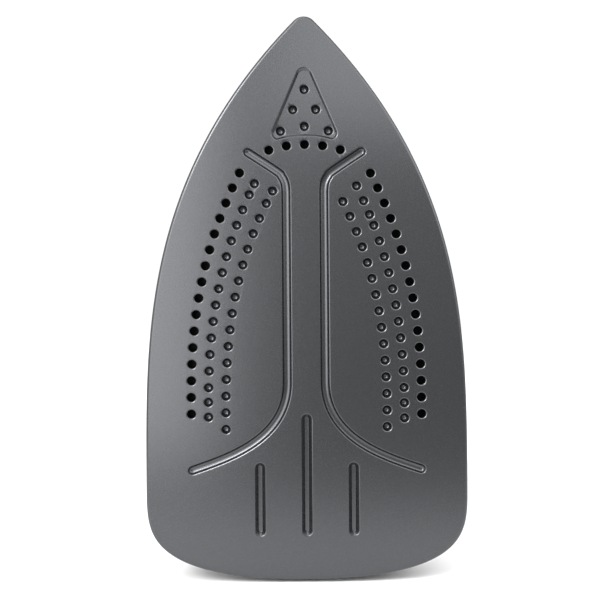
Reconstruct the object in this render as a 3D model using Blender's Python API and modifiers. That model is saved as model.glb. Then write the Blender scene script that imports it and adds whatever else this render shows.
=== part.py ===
"""A steam iron that stands on its heel, tip up.

World axes: +Z from the heel to the tip, +X across, and the ironing face looks along -Y.
Lengths are in metres. Inside the part a point is given as (x, h, z), where h is its height
above the ironing face, so that world y is FACE_Y + h.
"""

import math

import bmesh
import bpy
from mathutils import Matrix, Vector

# ---------------------------------------------------------------- driving dimensions
DEPTH = 0.1375  # from the ironing face to the top of the controls on the grip
FACE_Y = -DEPTH / 2
GAP = 0.0003  # between neighbouring solids

# Soleplate outline: a rounded heel, bowed sides and a rounded tip
SOLE_HALF_WIDTH = 0.063
SOLE_LOW = 0.0013  # the heel edge clears the table by this much
SOLE_APEX = 0.2241  # where the sides would meet
WIDEST_Z = 0.040
SIDE_POWER = 3.0
HEEL_ROUND = 2.3
HEEL_RISE = 3.9
TIP_RADIUS = 0.0055
SOLE_THICK = 0.006
EDGE_RADIUS = 0.0014

# Steam holes, recess, grooves and slots of the ironing face
HOLE_RADIUS = 0.0017
HOLE_PITCH = 0.0065
BLIND_DEPTH = 0.0026
RECESS_DEPTH = 0.0010
GROOVE_WIDTH = 0.0034
GROOVE_DEPTH = 0.0016
GROOVE_X = 0.0074
SLOT_WIDTH = 0.0042
SLOT_X = 0.0183
SLOT_LOW = 0.0185

# Heater casting, skirt and hull
CASTING_HIGH = 0.0160
ELEMENT_RADIUS = 0.0034
ELEMENT_H = 0.0118
CASTING_INSET = 0.0090  # how far each outline lies inside the sole's
GALLERY_INSETS = (0.0150, 0.0205)
GALLERY_HIGH = 0.0080
CHAMBER_INSET = 0.0340
CHAMBER_LOW = 0.0100
CHAMBER_SEAL_INSETS = (0.0315, 0.0335)
CHAMBER_COVER_INSET = 0.0310
CROSS_GALLERY = (0.0260, 0.1665, 0.1735)  # half length, and its lower and upper side
PORT_RADIUS = 0.0020
THERMOSTAT_RADIUS = 0.0110
THERMOSTAT_LOW = 0.0193
THERMOSTAT_HIGH = 0.0300
FUSE_AT = (0.0225, 0.0600)  # h and z of the thermal fuse
SKIRT_HIGH = 0.0200
SKIRT_INSET = 0.0028
SKIRT_WALL = 0.0020
HULL_LOW = 0.0203
HULL_INSET = 0.0050
HULL_RISE = 0.0465
HULL_ROUND = 2.5
HULL_WALL = 0.0022
HULL_REAR = 0.0118
HULL_CREST_Z = 0.070
PARTING_Z = 0.104
PARTING_SLOPE = 0.52  # the parting line leans forward by this much per unit of height
TANK_FLOOR_LOW = 0.0206
TANK_FLOOR_HIGH = 0.0226
TANK_FLOOR_TIP = 0.2030
REAR_WALL_SHIFTS = (0.0012, 0.0032)  # both faces of the tank's rear wall, ahead of the parting line

# Handle: centre line and half sizes as (z, h, half width, half thickness)
HANDLE_WALL = 0.0022
HANDLE_ROUND = 2.6
HANDLE_PATH = (
    (0.0235, 0.0260, 0.0300, 0.0138),
    (0.0235, 0.0450, 0.0300, 0.0140),
    (0.0235, 0.0720, 0.0270, 0.0140),
    (0.0250, 0.0950, 0.0230, 0.0140),
    (0.0370, 0.1140, 0.0185, 0.0130),
    (0.0620, 0.1215, 0.0160, 0.0125),
    (0.0920, 0.1220, 0.0155, 0.0125),
    (0.1180, 0.1205, 0.0170, 0.0130),
    (0.1380, 0.1140, 0.0195, 0.0145),
    (0.1510, 0.0990, 0.0220, 0.0170),
    (0.1575, 0.0760, 0.0240, 0.0180),
    (0.1605, 0.0500, 0.0260, 0.0185),
    (0.1620, 0.0240, 0.0270, 0.0185),
)
PANEL_TURNS = (0.17, 0.83)  # the top panels' share of the half turn over the grip
GRIP_PAD_Z = (0.046, 0.1005)
HANDLE_COVER_Z = (0.1015, 0.1465)
SPINE_STEPS = 2  # stations of the centre line for each point given
HEEL_TOP = 0.1120  # the handle's lower end is cut off square up to this height

# Controls
DIAL_Z = 0.088
DIAL_RADIUS = 0.0205
DIAL_LOW = 0.0683
DIAL_HIGH = 0.0765
SEAT_RADIUS = 0.0240
SEAT_LOW = 0.0580
SEAT_WALL = 0.0020
SHAFT_RADIUS = 0.0036
BUTTON_X = 0.0083
BUTTON_HALF = (0.0065, 0.0080)  # half sizes across and along
BUTTON_RANGE = (-0.0035, 0.0024)  # its foot and its top along the axis
BUTTON_PLAY = 0.0004
BUTTON_Z = 0.1425
BUTTON_LEAN = math.radians(27)  # the buttons stand square on the sloping head
BUTTON_SURFACE = 0.1277  # height of the cover where a button's axis leaves it
PUMP_RADIUS = 0.0046
SPRING_RADIUS = 0.0041
SPRING_RANGE = (-0.0114, -0.0042)
SPRING_COILS = 4
SLIDER_Z = 0.1130
SLIDER_H = 0.1345  # underside of the thumb piece
NEEDLE_Z = 0.1600
NEEDLE_RADIUS = 0.0014
NEEDLE_RANGE = (0.0215, 0.0780)
NEEDLE_BORE = 0.0043
MOUTH_HALF_WIDTH = 0.0062
MOUTH_MARGIN = 0.0032
DOOR_Z = (0.1862, 0.2030)
DOOR_HALF_WIDTH = 0.0080
DOOR_GROW = (0.0030, 0.0048)  # the door's two faces above the hull's skin
BEZEL_HALF_WIDTH = 0.0098
BEZEL_GROW = (0.0005, 0.0015)
SEAL_HALF_WIDTH = 0.0074
SEAL_MARGIN = 0.0014
EAR_CLEARANCE = 0.0011  # the door starts this far ahead, so that it clears the ears as it swings
HINGE_Z = 0.1842
HINGE_RISE = 0.0040  # of the hinge axis above the hull's ridge
EAR_X = 0.0072
EAR_HALF = (0.0013, 0.0019)  # half sizes across and along
BARREL_RADIUS = 0.0018
BARREL_HALF = 0.0055
PIN_RADIUS = 0.0008
PIN_BORE = 0.0011
PIN_HALF = 0.0084
NOZZLE_H = 0.0840
NOZZLE_Z = 0.1775
NOZZLE_BORE = 0.0053
GLAND_Z = 0.0310
GLAND_H = 0.1175
GLAND_BORE = 0.0031
GLAND_BALL = 0.0078
SOCKET_LIP = 0.0026  # the socket's lip stands this far above the ball's centre
SOCKET_RADIUS = 0.0110
LAMP_Z = 0.0560
LAMP_BORE = 0.0033

# Heel
HEEL_MIDDLE = 0.0600
SCREW_AT = (0.0220, 0.0450)  # x and h
FOOT_AT = (0.0130, 0.0920)
LEAD_RADIUS = 0.0013

FINISHES = {  # colour, roughness, metallic
    "nonstick": ((0.10, 0.10, 0.105), 0.38, 0.55),
    "cast_aluminium": ((0.62, 0.63, 0.64), 0.55, 1.0),
    "steel": ((0.60, 0.60, 0.60), 0.30, 1.0),
    "brass": ((0.78, 0.62, 0.32), 0.35, 1.0),
    "black_plastic": ((0.025, 0.025, 0.028), 0.50, 0.0),
    "charcoal_plastic": ((0.055, 0.057, 0.062), 0.40, 0.0),
    "grey_plastic": ((0.30, 0.31, 0.32), 0.35, 0.0),
    "smoke_clear": ((0.20, 0.26, 0.30), 0.08, 0.0),
    "soft_rubber": ((0.035, 0.035, 0.037), 0.80, 0.0),
    "silicone": ((0.45, 0.12, 0.08), 0.60, 0.0),
    "amber_clear": ((0.80, 0.25, 0.04), 0.10, 0.0),
    "white_ceramic": ((0.80, 0.79, 0.76), 0.60, 0.0),
    "live_sleeve": ((0.25, 0.11, 0.05), 0.50, 0.0),
    "neutral_sleeve": ((0.05, 0.12, 0.35), 0.50, 0.0),
    "earth_sleeve": ((0.25, 0.40, 0.08), 0.50, 0.0),
}


# ---------------------------------------------------------------- scene and helpers
for old in list(bpy.data.objects):
    bpy.data.objects.remove(old, do_unlink=True)

PARTS = bpy.data.collections.new("steam_iron")
CUTTERS = bpy.data.collections.new("cutters")
for group in (PARTS, CUTTERS):
    bpy.context.scene.collection.children.link(group)


def place(x, h, z):
    """The world point that is x across, h above the ironing face and z up."""
    return Vector((x, FACE_Y + h, z))


def finish(obj, kind):
    """Gives a piece its own material of one of the finishes."""
    colour, roughness, metallic = FINISHES[kind]
    material = bpy.data.materials.new(f"{obj.name}_{kind}")
    material.use_nodes = True
    shader = material.node_tree.nodes["Principled BSDF"]
    shader.inputs["Base Color"].default_value = (*colour, 1.0)
    shader.inputs["Roughness"].default_value = roughness
    shader.inputs["Metallic"].default_value = metallic
    material.diffuse_color = (*colour, 1.0)
    obj.data.materials.append(material)


def link(name, data, kind):
    """A new object: a part with a finish, or a cutter when kind is None."""
    obj = bpy.data.objects.new(name, data)
    if kind is None:
        CUTTERS.objects.link(obj)
        obj.hide_render = True
        obj.display_type = "WIRE"
    else:
        PARTS.objects.link(obj)
        finish(obj, kind)
    return obj


def from_bmesh(name, mesh_data, kind, smooth=True):
    """An object from a bmesh whose shape is already in place."""
    mesh = bpy.data.meshes.new(name)
    bmesh.ops.remove_doubles(mesh_data, verts=mesh_data.verts, dist=1e-6)
    bmesh.ops.recalc_face_normals(mesh_data, faces=mesh_data.faces)
    mesh_data.to_mesh(mesh)
    mesh_data.free()
    if smooth:
        mesh.shade_smooth()
        mesh.set_sharp_from_angle(angle=math.radians(35))
    return link(name, mesh, kind)


def loft(name, rings, kind):
    """A closed solid through rings of equal count, with a flat cap at each end."""
    shape = bmesh.new()
    rows = [[shape.verts.new(point) for point in ring] for ring in rings]
    for low, high in zip(rows, rows[1:]):
        for k in range(len(low)):
            n = (k + 1) % len(low)
            shape.faces.new((low[k], low[n], high[n], high[k]))
    shape.faces.new(rows[0])
    shape.faces.new(rows[-1])
    return from_bmesh(name, shape, kind)


def walled(name, outer, inner, kind):
    """A shell between two surfaces given as rows of points, closed round their free edges."""
    shape = bmesh.new()
    skins = [[[shape.verts.new(p) for p in row] for row in rows] for rows in (outer, inner)]
    last_row, last = len(outer) - 1, len(outer[0]) - 1
    for skin in skins:
        for low, high in zip(skin, skin[1:]):
            for k in range(last):
                shape.faces.new((low[k], low[k + 1], high[k + 1], high[k]))
    out, into = skins
    edge = [(0, k) for k in range(last + 1)]
    edge += [(r, last) for r in range(1, last_row + 1)]
    edge += [(last_row, k) for k in range(last - 1, -1, -1)]
    edge += [(r, 0) for r in range(last_row - 1, 0, -1)]
    for (r, k), (s, n) in zip(edge, edge[1:] + edge[:1]):
        shape.faces.new((out[r][k], out[s][n], into[s][n], into[r][k]))
    return from_bmesh(name, shape, kind)


def tube_surface(name, rows, kind):
    """An open surface of closed rings, whose faces look outwards."""
    shape = bmesh.new()
    rings = [[shape.verts.new(point) for point in row] for row in rows]
    for low, high in zip(rings, rings[1:]):
        for k in range(len(low)):
            n = (k + 1) % len(low)
            shape.faces.new((low[k], low[n], high[n], high[k]))
    mesh = bpy.data.meshes.new(name)
    shape.to_mesh(mesh)
    shape.free()
    mesh.shade_smooth()
    return link(name, mesh, kind)


def thicken(obj, wall):
    """Gives an open surface its wall, inwards."""
    solid = obj.modifiers.new("wall", "SOLIDIFY")
    solid.thickness = wall
    solid.offset = -1.0
    solid.use_even_offset = True


def rod(name, start, end, radius, kind, sides=16, tip=None):
    """A round bar between two points, or a cone if the tip's radius is given."""
    shape = bmesh.new()
    span = end - start
    bmesh.ops.create_cone(
        shape, cap_ends=True, segments=sides, radius1=radius,
        radius2=radius if tip is None else tip, depth=span.length,
    )
    turn = Vector((0, 0, 1)).rotation_difference(span).to_matrix().to_4x4()
    bmesh.ops.transform(shape, matrix=Matrix.Translation((start + end) / 2) @ turn, verts=shape.verts)
    return from_bmesh(name, shape, kind)


def box(name, low, high, kind, bevel=0.0, turn=None):
    """A block between two corners (x, h, z), turned about its centre if asked."""
    shape = bmesh.new()
    bmesh.ops.create_cube(shape, size=1.0)
    size = Vector(high) - Vector(low)
    centre = (Vector(high) + Vector(low)) / 2
    bmesh.ops.scale(shape, vec=size, verts=shape.verts)
    matrix = Matrix.Translation(place(*centre)) @ (turn or Matrix.Identity(4))
    bmesh.ops.transform(shape, matrix=matrix, verts=shape.verts)
    obj = from_bmesh(name, shape, kind, smooth=False)
    if bevel:
        rounded = obj.modifiers.new("rounded", "BEVEL")
        rounded.width = bevel
        rounded.segments = 2
    return obj


def turned(name, profile, centre, axis, kind, steps=24, closed=False):
    """A turned piece. The profile is (radius, height) down the outer side, top to bottom."""
    mesh = bpy.data.meshes.new(name)
    edges = [(k, k + 1) for k in range(len(profile) - 1)]
    if closed:
        edges.append((len(profile) - 1, 0))
    mesh.from_pydata([(r, 0.0, height) for r, height in profile], edges, [])
    obj = link(name, mesh, kind)
    screw = obj.modifiers.new("turned", "SCREW")
    screw.steps = screw.render_steps = steps
    screw.use_merge_vertices = True
    screw.merge_threshold = 1e-5
    obj.location = centre
    obj.rotation_mode = "QUATERNION"
    obj.rotation_quaternion = Vector((0, 0, 1)).rotation_difference(Vector(axis))
    return obj


def wire(name, points, radius, kind, resolution=2):
    """A round wire or tube along points, with closed ends."""
    curve = bpy.data.curves.new(name, "CURVE")
    curve.dimensions = "3D"
    curve.bevel_depth = radius
    curve.bevel_resolution = resolution
    curve.use_fill_caps = True
    line = curve.splines.new("POLY")
    line.points.add(len(points) - 1)
    for point, where in zip(line.points, points):
        point.co = (*where, 1.0)
    return link(name, curve, kind)


def as_mesh(obj, kind):
    """The same piece as a mesh with its caps welded, so that it can cut or be cut."""
    view = bpy.context.evaluated_depsgraph_get()
    mesh = bpy.data.meshes.new_from_object(obj.evaluated_get(view))
    shape = bmesh.new()
    shape.from_mesh(mesh)
    bmesh.ops.remove_doubles(shape, verts=shape.verts, dist=1e-6)
    bmesh.ops.recalc_face_normals(shape, faces=shape.faces)
    shape.to_mesh(mesh)
    shape.free()
    mesh.materials.clear()
    name, matrix = obj.name, obj.matrix_world.copy()
    bpy.data.objects.remove(obj, do_unlink=True)
    welded = link(name, mesh, kind)
    welded.matrix_world = matrix
    return welded


def flat(name, outlines, low, high, kind):
    """A plate across h: closed outlines of (x, z) points, the inner ones being holes."""
    curve = bpy.data.curves.new(name, "CURVE")
    curve.dimensions = "2D"
    curve.fill_mode = "BOTH"
    curve.extrude = (high - low) / 2
    for outline in outlines:
        line = curve.splines.new("POLY")
        line.points.add(len(outline) - 1)
        for point, (x, z) in zip(line.points, outline):
            point.co = (x, z, 0.0, 1.0)
        line.use_cyclic_u = True
    obj = link(name, curve, kind)
    obj.location = place(0.0, (low + high) / 2, 0.0)
    obj.rotation_euler = (math.pi / 2, 0.0, 0.0)
    bpy.context.view_layer.update()
    return as_mesh(obj, kind)


def boolean(obj, other, operation, solver="EXACT"):
    """Cuts the other object out of this one, or joins it on."""
    step = obj.modifiers.new(operation.lower(), "BOOLEAN")
    step.operation = operation
    step.solver = solver
    step.object = other


def cut(obj, other, solver="EXACT"):
    boolean(obj, other, "DIFFERENCE", solver)


def join(obj, other):
    boolean(obj, other, "UNION")


def hang_on(obj, pivot):
    """Puts a moving piece's origin on its joint axis."""
    shift = obj.matrix_world.inverted() @ Matrix.Translation(pivot)
    obj.data.transform(shift.inverted())
    obj.matrix_world = Matrix.Translation(pivot)


def through(points, steps):
    """A smooth curve through the points (Catmull-Rom), each span in equal steps."""
    ends = [points[0], *points, points[-1]]
    curve = []
    for a, b, c, d in zip(ends, ends[1:], ends[2:], ends[3:]):
        for step in range(steps):
            t = step / steps
            weights = (
                (-t + 2 * t**2 - t**3) / 2, (2 - 5 * t**2 + 3 * t**3) / 2,
                (t + 4 * t**2 - 3 * t**3) / 2, (-t**2 + t**3) / 2,
            )
            near = (a, b, c, d)
            curve.append(tuple(sum(w * p[i] for w, p in zip(weights, near)) for i in range(len(a))))
    curve.append(tuple(points[-1]))
    return curve


def signed_power(value, power):
    return math.copysign(abs(value) ** power, value)


# ---------------------------------------------------------------- shapes of the body
def outline_sizes(inset):
    """Half width, low edge, apex and tip radius of the sole's outline drawn in by inset."""
    apex = SOLE_APEX - inset * math.sqrt(2)
    return SOLE_HALF_WIDTH - inset, SOLE_LOW + inset, apex, max(TIP_RADIUS - inset, 0.0012)


def half_width(z, inset):
    """Half the sole's width at height z, its outline drawn in by inset."""
    width, low, apex, radius = outline_sizes(inset)
    if z <= WIDEST_Z:
        fall = min(1.0, (WIDEST_Z - z) / (WIDEST_Z - low))
        return width * (1 - fall**HEEL_RISE) ** (1 / HEEL_ROUND)
    centre = apex - radius * math.sqrt(2)
    if z > centre + radius * math.sqrt(0.5):
        return math.sqrt(max(0.0, radius**2 - (z - centre) ** 2))
    return width * (1 - ((z - WIDEST_Z) / (apex - WIDEST_Z)) ** SIDE_POWER)


def tip_height(inset):
    """The top of the outline drawn in by inset."""
    _, _, apex, radius = outline_sizes(inset)
    return apex - radius * (math.sqrt(2) - 1)


def sole_outline(inset, heel=10, side=15, tip=4):
    """The whole outline as (x, z) points, from the middle of the heel round by +X."""
    width, low, apex, radius = outline_sizes(inset)
    right = []
    for k in range(heel):
        turn = math.pi / 2 * k / heel
        x = width * math.sin(turn) ** (2 / HEEL_ROUND)
        right.append((x, WIDEST_Z - (WIDEST_Z - low) * math.cos(turn) ** (2 / HEEL_RISE)))
    centre = apex - radius * math.sqrt(2)
    side_top = centre + radius * math.sqrt(0.5)
    for k in range(side):
        z = WIDEST_Z + (side_top - WIDEST_Z) * k / side
        right.append((half_width(z, inset), z))
    for k in range(tip + 1):
        turn = math.pi / 4 * (1 + k / tip)
        right.append((radius * math.cos(turn), centre + radius * math.sin(turn)))
    right[-1] = (0.0, right[-1][1])
    return right + [(-x, z) for x, z in right[-2:0:-1]]


def hull_top(z):
    """Height of the hull's ridge: level over the heater, falling to the tip."""
    if z < HULL_CREST_Z:
        fall = 0.1 * ((HULL_CREST_Z - z) / HULL_CREST_Z) ** 2
    else:
        fall = min(1.0, (z - HULL_CREST_Z) / (tip_height(HULL_INSET) - HULL_CREST_Z)) ** 2.2
    return HULL_LOW + HULL_RISE * (1 - fall)


def hull_point(z, turn, grow):
    """A point of the hull's skin: an arch across the iron at height z."""
    side = max(0.0, half_width(z, HULL_INSET - grow))
    rise = max(0.0, hull_top(z) + grow - HULL_LOW)
    x = side * signed_power(math.cos(turn), 2 / HULL_ROUND)
    return x, HULL_LOW + rise * max(0.0, math.sin(turn)) ** (2 / HULL_ROUND)


def parting_height(turn, grow):
    """Where the slanted parting line crosses the hull at one place round its arch."""
    z = PARTING_Z
    for _ in range(12):
        z = PARTING_Z + PARTING_SLOPE * (hull_point(z, turn, grow)[1] - HULL_LOW)
    return z


def hull_rows(grow, from_parting, steps=9, arch=16):
    """Rows of the hull's skin, behind the parting line or in front of it up to the tip."""
    rows = []
    for r in range(steps + 1):
        row = []
        for k in range(arch + 1):
            turn = math.pi * k / arch
            joint = parting_height(turn, grow)
            if from_parting:
                low = joint + GAP / 2
                z = low + (tip_height(HULL_INSET - grow) - low) * math.sin(math.pi / 2 * r / steps)
            else:
                z = HULL_REAR + (joint - GAP / 2 - HULL_REAR) * r / steps
            x, h = hull_point(z, turn, grow)
            row.append(place(x, h, z))
        rows.append(row)
    return rows


def hull_cutter(name, grow):
    """The whole hull as one solid, a little larger, to cut what stands on it."""
    rings = []
    top = tip_height(HULL_INSET - grow) - 0.0005
    for r in range(21):
        z = top * r / 20
        arch = [hull_point(max(z, HULL_REAR), math.pi * k / 20, grow) for k in range(21)]
        sill = [(arch[-1][0], HULL_LOW - 0.0100), (arch[0][0], HULL_LOW - 0.0100)]
        rings.append([place(x, h, z) for x, h in arch + sill])
    return loft(name, rings, None)


def handle_spine():
    """The handle's centre line with its half sizes: (z, h, half width, half thickness)."""
    return through(HANDLE_PATH, SPINE_STEPS)


def handle_frame(spine, k):
    """Centre, unit normal away from the finger gap, and half sizes at one station."""
    before, after = spine[max(k - 1, 0)], spine[min(k + 1, len(spine) - 1)]
    along = Vector((after[0] - before[0], after[1] - before[1])).normalized()
    z, h, wide, thick = spine[k]
    return Vector((z, h)), Vector((-along.y, along.x)), wide, thick


def between_frames(spine, station):
    """The handle's frame at a place between two stations."""
    low = min(int(station), len(spine) - 2)
    share = station - low
    pairs = zip(handle_frame(spine, low), handle_frame(spine, low + 1))
    return [a + (b - a) * share for a, b in pairs]


def station_at(spine, z):
    """Where along the grip its centre line passes height z."""
    for k in range(len(spine) // 4, len(spine) - 1):
        if spine[k][0] <= z <= spine[k + 1][0]:
            return k + (z - spine[k][0]) / (spine[k + 1][0] - spine[k][0])
    return len(spine) - 1.0


def handle_point(spine, station, turn, grow):
    """A point of the handle's skin: a rounded oval square to the centre line."""
    centre, normal, wide, thick = between_frames(spine, station)
    x = (wide + grow) * signed_power(math.cos(turn), 2 / HANDLE_ROUND)
    out = (thick + grow) * signed_power(math.sin(turn), 2 / HANDLE_ROUND)
    return place(x, centre.y + normal.y * out, centre.x + normal.x * out)


# ---------------------------------------------------------------- ironing face
HOLE_ROWS = (  # side, edge x, low z, drop, bend, top z, count, shorter steps {after hole: pitch}
    (-1, 0.0450, 0.0700, 0.0195, 2.34, 0.1605, 16, {}),
    (-1, 0.0383, 0.0660, 0.0187, 2.40, 0.1563, 16, {0: 0.0048, 13: 0.0057, 14: 0.0058}),
    (-1, 0.0315, 0.0620, 0.0184, 2.60, 0.1534, 16, {0: 0.0055}),
    (1, 0.0450, 0.0700, 0.0195, 2.34, 0.1601, 16, {}),
    (1, 0.0383, 0.0660, 0.0187, 2.40, 0.1552, 16, {1: 0.0059, 2: 0.0046, 13: 0.0060, 14: 0.0059}),
    (1, 0.0315, 0.0620, 0.0184, 2.60, 0.1491, 15, {}),
)
ROW_REACH = 0.0905  # the height over which a row drops in towards the axis
ARC_TOP, ARC_RADIUS, ARC_PITCH, ARC_COUNT = 0.1715, 0.0465, 0.0071, 5
TIP_HOLES = ((0.0, 0.1932), (0.0045, 0.1853), (-0.0045, 0.1853), (0.0, 0.1787), (0.0094, 0.1769),
             (-0.0094, 0.1769))


def row_x(row, z):
    """Distance of a hole row from the axis at height z."""
    _, edge, low, drop, bend = row[:5]
    return edge - drop * max(0.0, (z - low) / ROW_REACH) ** bend


def row_holes(row):
    """Holes of one row, stepped down its curve at the hole pitch."""
    side, _, _, _, _, z, count, shorter = row
    holes = []
    for k in range(count):
        holes.append((side * row_x(row, z), z))
        run = row_x(row, z - HOLE_PITCH / 2) - row_x(row, z + HOLE_PITCH / 2)
        z -= shorter.get(k, HOLE_PITCH) * math.cos(math.atan2(run, HOLE_PITCH))
    return holes


def open_holes():
    """Holes that let the steam out: both outer rows and the arc under the recess."""
    holes = row_holes(HOLE_ROWS[0]) + row_holes(HOLE_ROWS[3])
    for k in range(ARC_COUNT):
        turn = (k - (ARC_COUNT - 1) / 2) * ARC_PITCH / ARC_RADIUS
        holes.append((ARC_RADIUS * math.sin(turn), ARC_TOP - ARC_RADIUS * (1 - math.cos(turn))))
    return holes


def blind_holes():
    """Dimples: the inner rows and those inside the recess."""
    rows = [HOLE_ROWS[k] for k in (1, 2, 4, 5)]
    return [hole for row in rows for hole in row_holes(row)] + list(TIP_HOLES)


def arc(cx, cz, radius, start, end, steps):
    """Points on a circle from one angle to another, in degrees."""
    turns = [math.radians(start + (end - start) * k / steps) for k in range(steps + 1)]
    return [(cx + radius * math.cos(t), cz + radius * math.sin(t)) for t in turns]


def recess_outline():
    """A triangle with rounded corners whose lower side follows the arc of holes."""
    right = arc(0.0103, 0.1759, 0.0029, -80, 19, 5) + arc(0.0, 0.1983, 0.0035, 19, 90, 4)
    lower = [(0.0, 0.1746), (0.0055, 0.1742)]
    return lower + right + [(-x, z) for x, z in reversed(right[:-1])] + [(-0.0055, 0.1742)]


def groove_line():
    """Centre line of the right-hand groove: arm, bend, straight and flare."""
    arm_end, bend = (0.0222, 0.1685), [(0.0110, 0.1611), (0.0090, 0.1590), (0.0078, 0.1565)]
    flare = ((GROOVE_X, 0.0787), (GROOVE_X, 0.0560), (0.0317, 0.0489), (0.0447, 0.0444))
    line = [arm_end, *bend, (GROOVE_X, 0.1535)]
    for k in range(11):
        t = k / 10
        weights = ((1 - t) ** 3, 3 * t * (1 - t) ** 2, 3 * t**2 * (1 - t), t**3)
        line.append(tuple(sum(w * p[i] for w, p in zip(weights, flare)) for i in range(2)))
    return line


def ribbon(line, width, cap=4):
    """The outline of a channel with round ends along a centre line of (x, z) points."""
    left, right = [], []
    for k, (x, z) in enumerate(line):
        before, after = line[max(k - 1, 0)], line[min(k + 1, len(line) - 1)]
        along = Vector((after[0] - before[0], after[1] - before[1])).normalized()
        left.append((x - along.y * width / 2, z + along.x * width / 2))
        right.append((x + along.y * width / 2, z - along.x * width / 2))

    def rounded(end, first):
        start = math.degrees(math.atan2(first[1] - end[1], first[0] - end[0]))
        return arc(*end, width / 2, start, start - 180, cap)[1:-1]

    return left + rounded(line[-1], left[-1]) + right[::-1] + rounded(line[0], right[0])


def hole_cutter(name, holes, depth):
    """Six-sided drills through the ironing face, as one cutter."""
    shape = bmesh.new()
    for x, z in holes:
        matrix = Matrix.Translation(place(x, depth / 2 - 0.0005, z)) @ Matrix.Rotation(math.pi / 2, 4, "X")
        bmesh.ops.create_cone(
            shape, cap_ends=True, segments=6, radius1=HOLE_RADIUS, radius2=HOLE_RADIUS,
            depth=depth + 0.001, matrix=matrix,
        )
    return from_bmesh(name, shape, None, smooth=False)


def make_soleplate():
    """The coated plate: rounded at the face, pierced, dimpled and grooved."""
    levels = ((SOLE_THICK, 0.0005), (SOLE_THICK - 0.0005, 0.0), (EDGE_RADIUS, 0.0),
              (0.3 * EDGE_RADIUS, 0.3 * EDGE_RADIUS), (0.0, EDGE_RADIUS))
    rings = [[place(x, h, z) for x, z in sole_outline(inset)] for h, inset in levels]
    plate = loft("soleplate", rings, "nonstick")
    cut(plate, hole_cutter("open_drills", open_holes(), SOLE_THICK + 0.001))
    recess = flat("recess_tool", [recess_outline()], -0.001, RECESS_DEPTH, None)
    cut(plate, recess)
    cut(plate, hole_cutter("blind_drills", blind_holes(), BLIND_DEPTH))
    right = groove_line()
    for name, line in (("right", right), ("left", [(-x, z) for x, z in right])):
        cut(plate, flat(f"groove_{name}", [ribbon(line, GROOVE_WIDTH)], -0.001, GROOVE_DEPTH, None))
    for name, x, high in (("left", -SLOT_X, 0.0472), ("middle", 0.0, 0.0662), ("right", SLOT_X, 0.0472)):
        radius = SLOT_WIDTH / 2
        line = [(x, high - radius), (x, SLOT_LOW + radius)]
        cut(plate, flat(f"slot_{name}", [ribbon(line, SLOT_WIDTH)], -0.001, GROOVE_DEPTH, None))


# ---------------------------------------------------------------- heater
def element_line():
    """The heating element's path: up one side, round the tip and down the other."""
    right = [(half_width(z, 0.0235), z) for z in [0.006 + 0.0285 * k for k in range(6)]]
    right[0] = (0.0300, 0.0125)
    nose = [(0.0120, 0.1700), (0.0, 0.1765), (-0.0120, 0.1700)]
    line = right + nose + [(-x, z) for x, z in reversed(right)]
    return [place(x, ELEMENT_H, z) for x, z in through(line, 2)]


def make_heater():
    """Die-cast block with its cast-in element, steam gallery, chamber, cover and seal."""
    outline = sole_outline(CASTING_INSET, heel=8, side=12, tip=3)
    casting = flat("heater_casting", [outline], SOLE_THICK + GAP, CASTING_HIGH, "cast_aluminium")
    tunnel = element_line()
    mouth = Vector((0.0, 0.0, -0.008))
    bore = wire("element_tunnel", [tunnel[0] + mouth, *tunnel, tunnel[-1] + mouth],
                ELEMENT_RADIUS + GAP, None, 1)
    cut(casting, as_mesh(bore, None))
    gallery = [sole_outline(inset, 8, 12, 3) for inset in GALLERY_INSETS]
    cut(casting, flat("gallery_tool", gallery, 0.0, GALLERY_HIGH, None))
    reach, low, high = CROSS_GALLERY
    cut(casting, box("cross_gallery_tool", (-reach, 0.0, low), (reach, GALLERY_HIGH, high), None))
    chamber = sole_outline(CHAMBER_INSET, 6, 10, 3)
    cut(casting, flat("chamber_tool", [chamber], CHAMBER_LOW, SKIRT_HIGH, None))
    for side in (-1, 1):
        port = place(side * 0.0225, 0.0040, 0.1700)
        inner = place(side * 0.0060, 0.0125, 0.1500)
        cut(casting, rod(f"steam_port_{side}", port, inner, PORT_RADIUS, None, sides=8))
    stub = Vector((0.0, 0.0, -0.0022))
    element = wire("heating_element", [tunnel[0] + stub, *tunnel, tunnel[-1] + stub],
                   ELEMENT_RADIUS, "steel", 1)
    as_mesh(element, "steel")
    seal = [sole_outline(inset, 6, 10, 3) for inset in CHAMBER_SEAL_INSETS]
    flat("chamber_seal", seal, CASTING_HIGH + GAP, CASTING_HIGH + 0.0013, "silicone")
    cover = sole_outline(CHAMBER_COVER_INSET, 6, 10, 3)
    flat("chamber_cover", [cover], CASTING_HIGH + 0.0016, CASTING_HIGH + 0.0030, "steel")


def make_thermostat():
    """Thermostat on the chamber cover under the dial, and the thermal fuse behind it."""
    edge, top = THERMOSTAT_RADIUS, THERMOSTAT_HIGH
    profile = ((0.0, top), (edge - 0.001, top), (edge, top - 0.001), (edge, THERMOSTAT_LOW),
               (0.0, THERMOSTAT_LOW))
    turned("thermostat_body", profile, place(0, 0, DIAL_Z), (0, 1, 0), "white_ceramic", 20)
    rod("thermal_fuse", place(-0.0090, *FUSE_AT), place(0.0090, *FUSE_AT), 0.0028, "steel", 12)


def make_heat_shield():
    """Skirt between the hot plate and the housing, drawn in towards its top."""
    levels = ((SOLE_THICK + GAP, SKIRT_INSET), (0.7 * SKIRT_HIGH, SKIRT_INSET), (SKIRT_HIGH, HULL_INSET))
    rows = [[place(x, h, z) for x, z in sole_outline(inset)] for h, inset in reversed(levels)]
    skirt = tube_surface("heat_shield", rows, "black_plastic")
    thicken(skirt, SKIRT_WALL)


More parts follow.
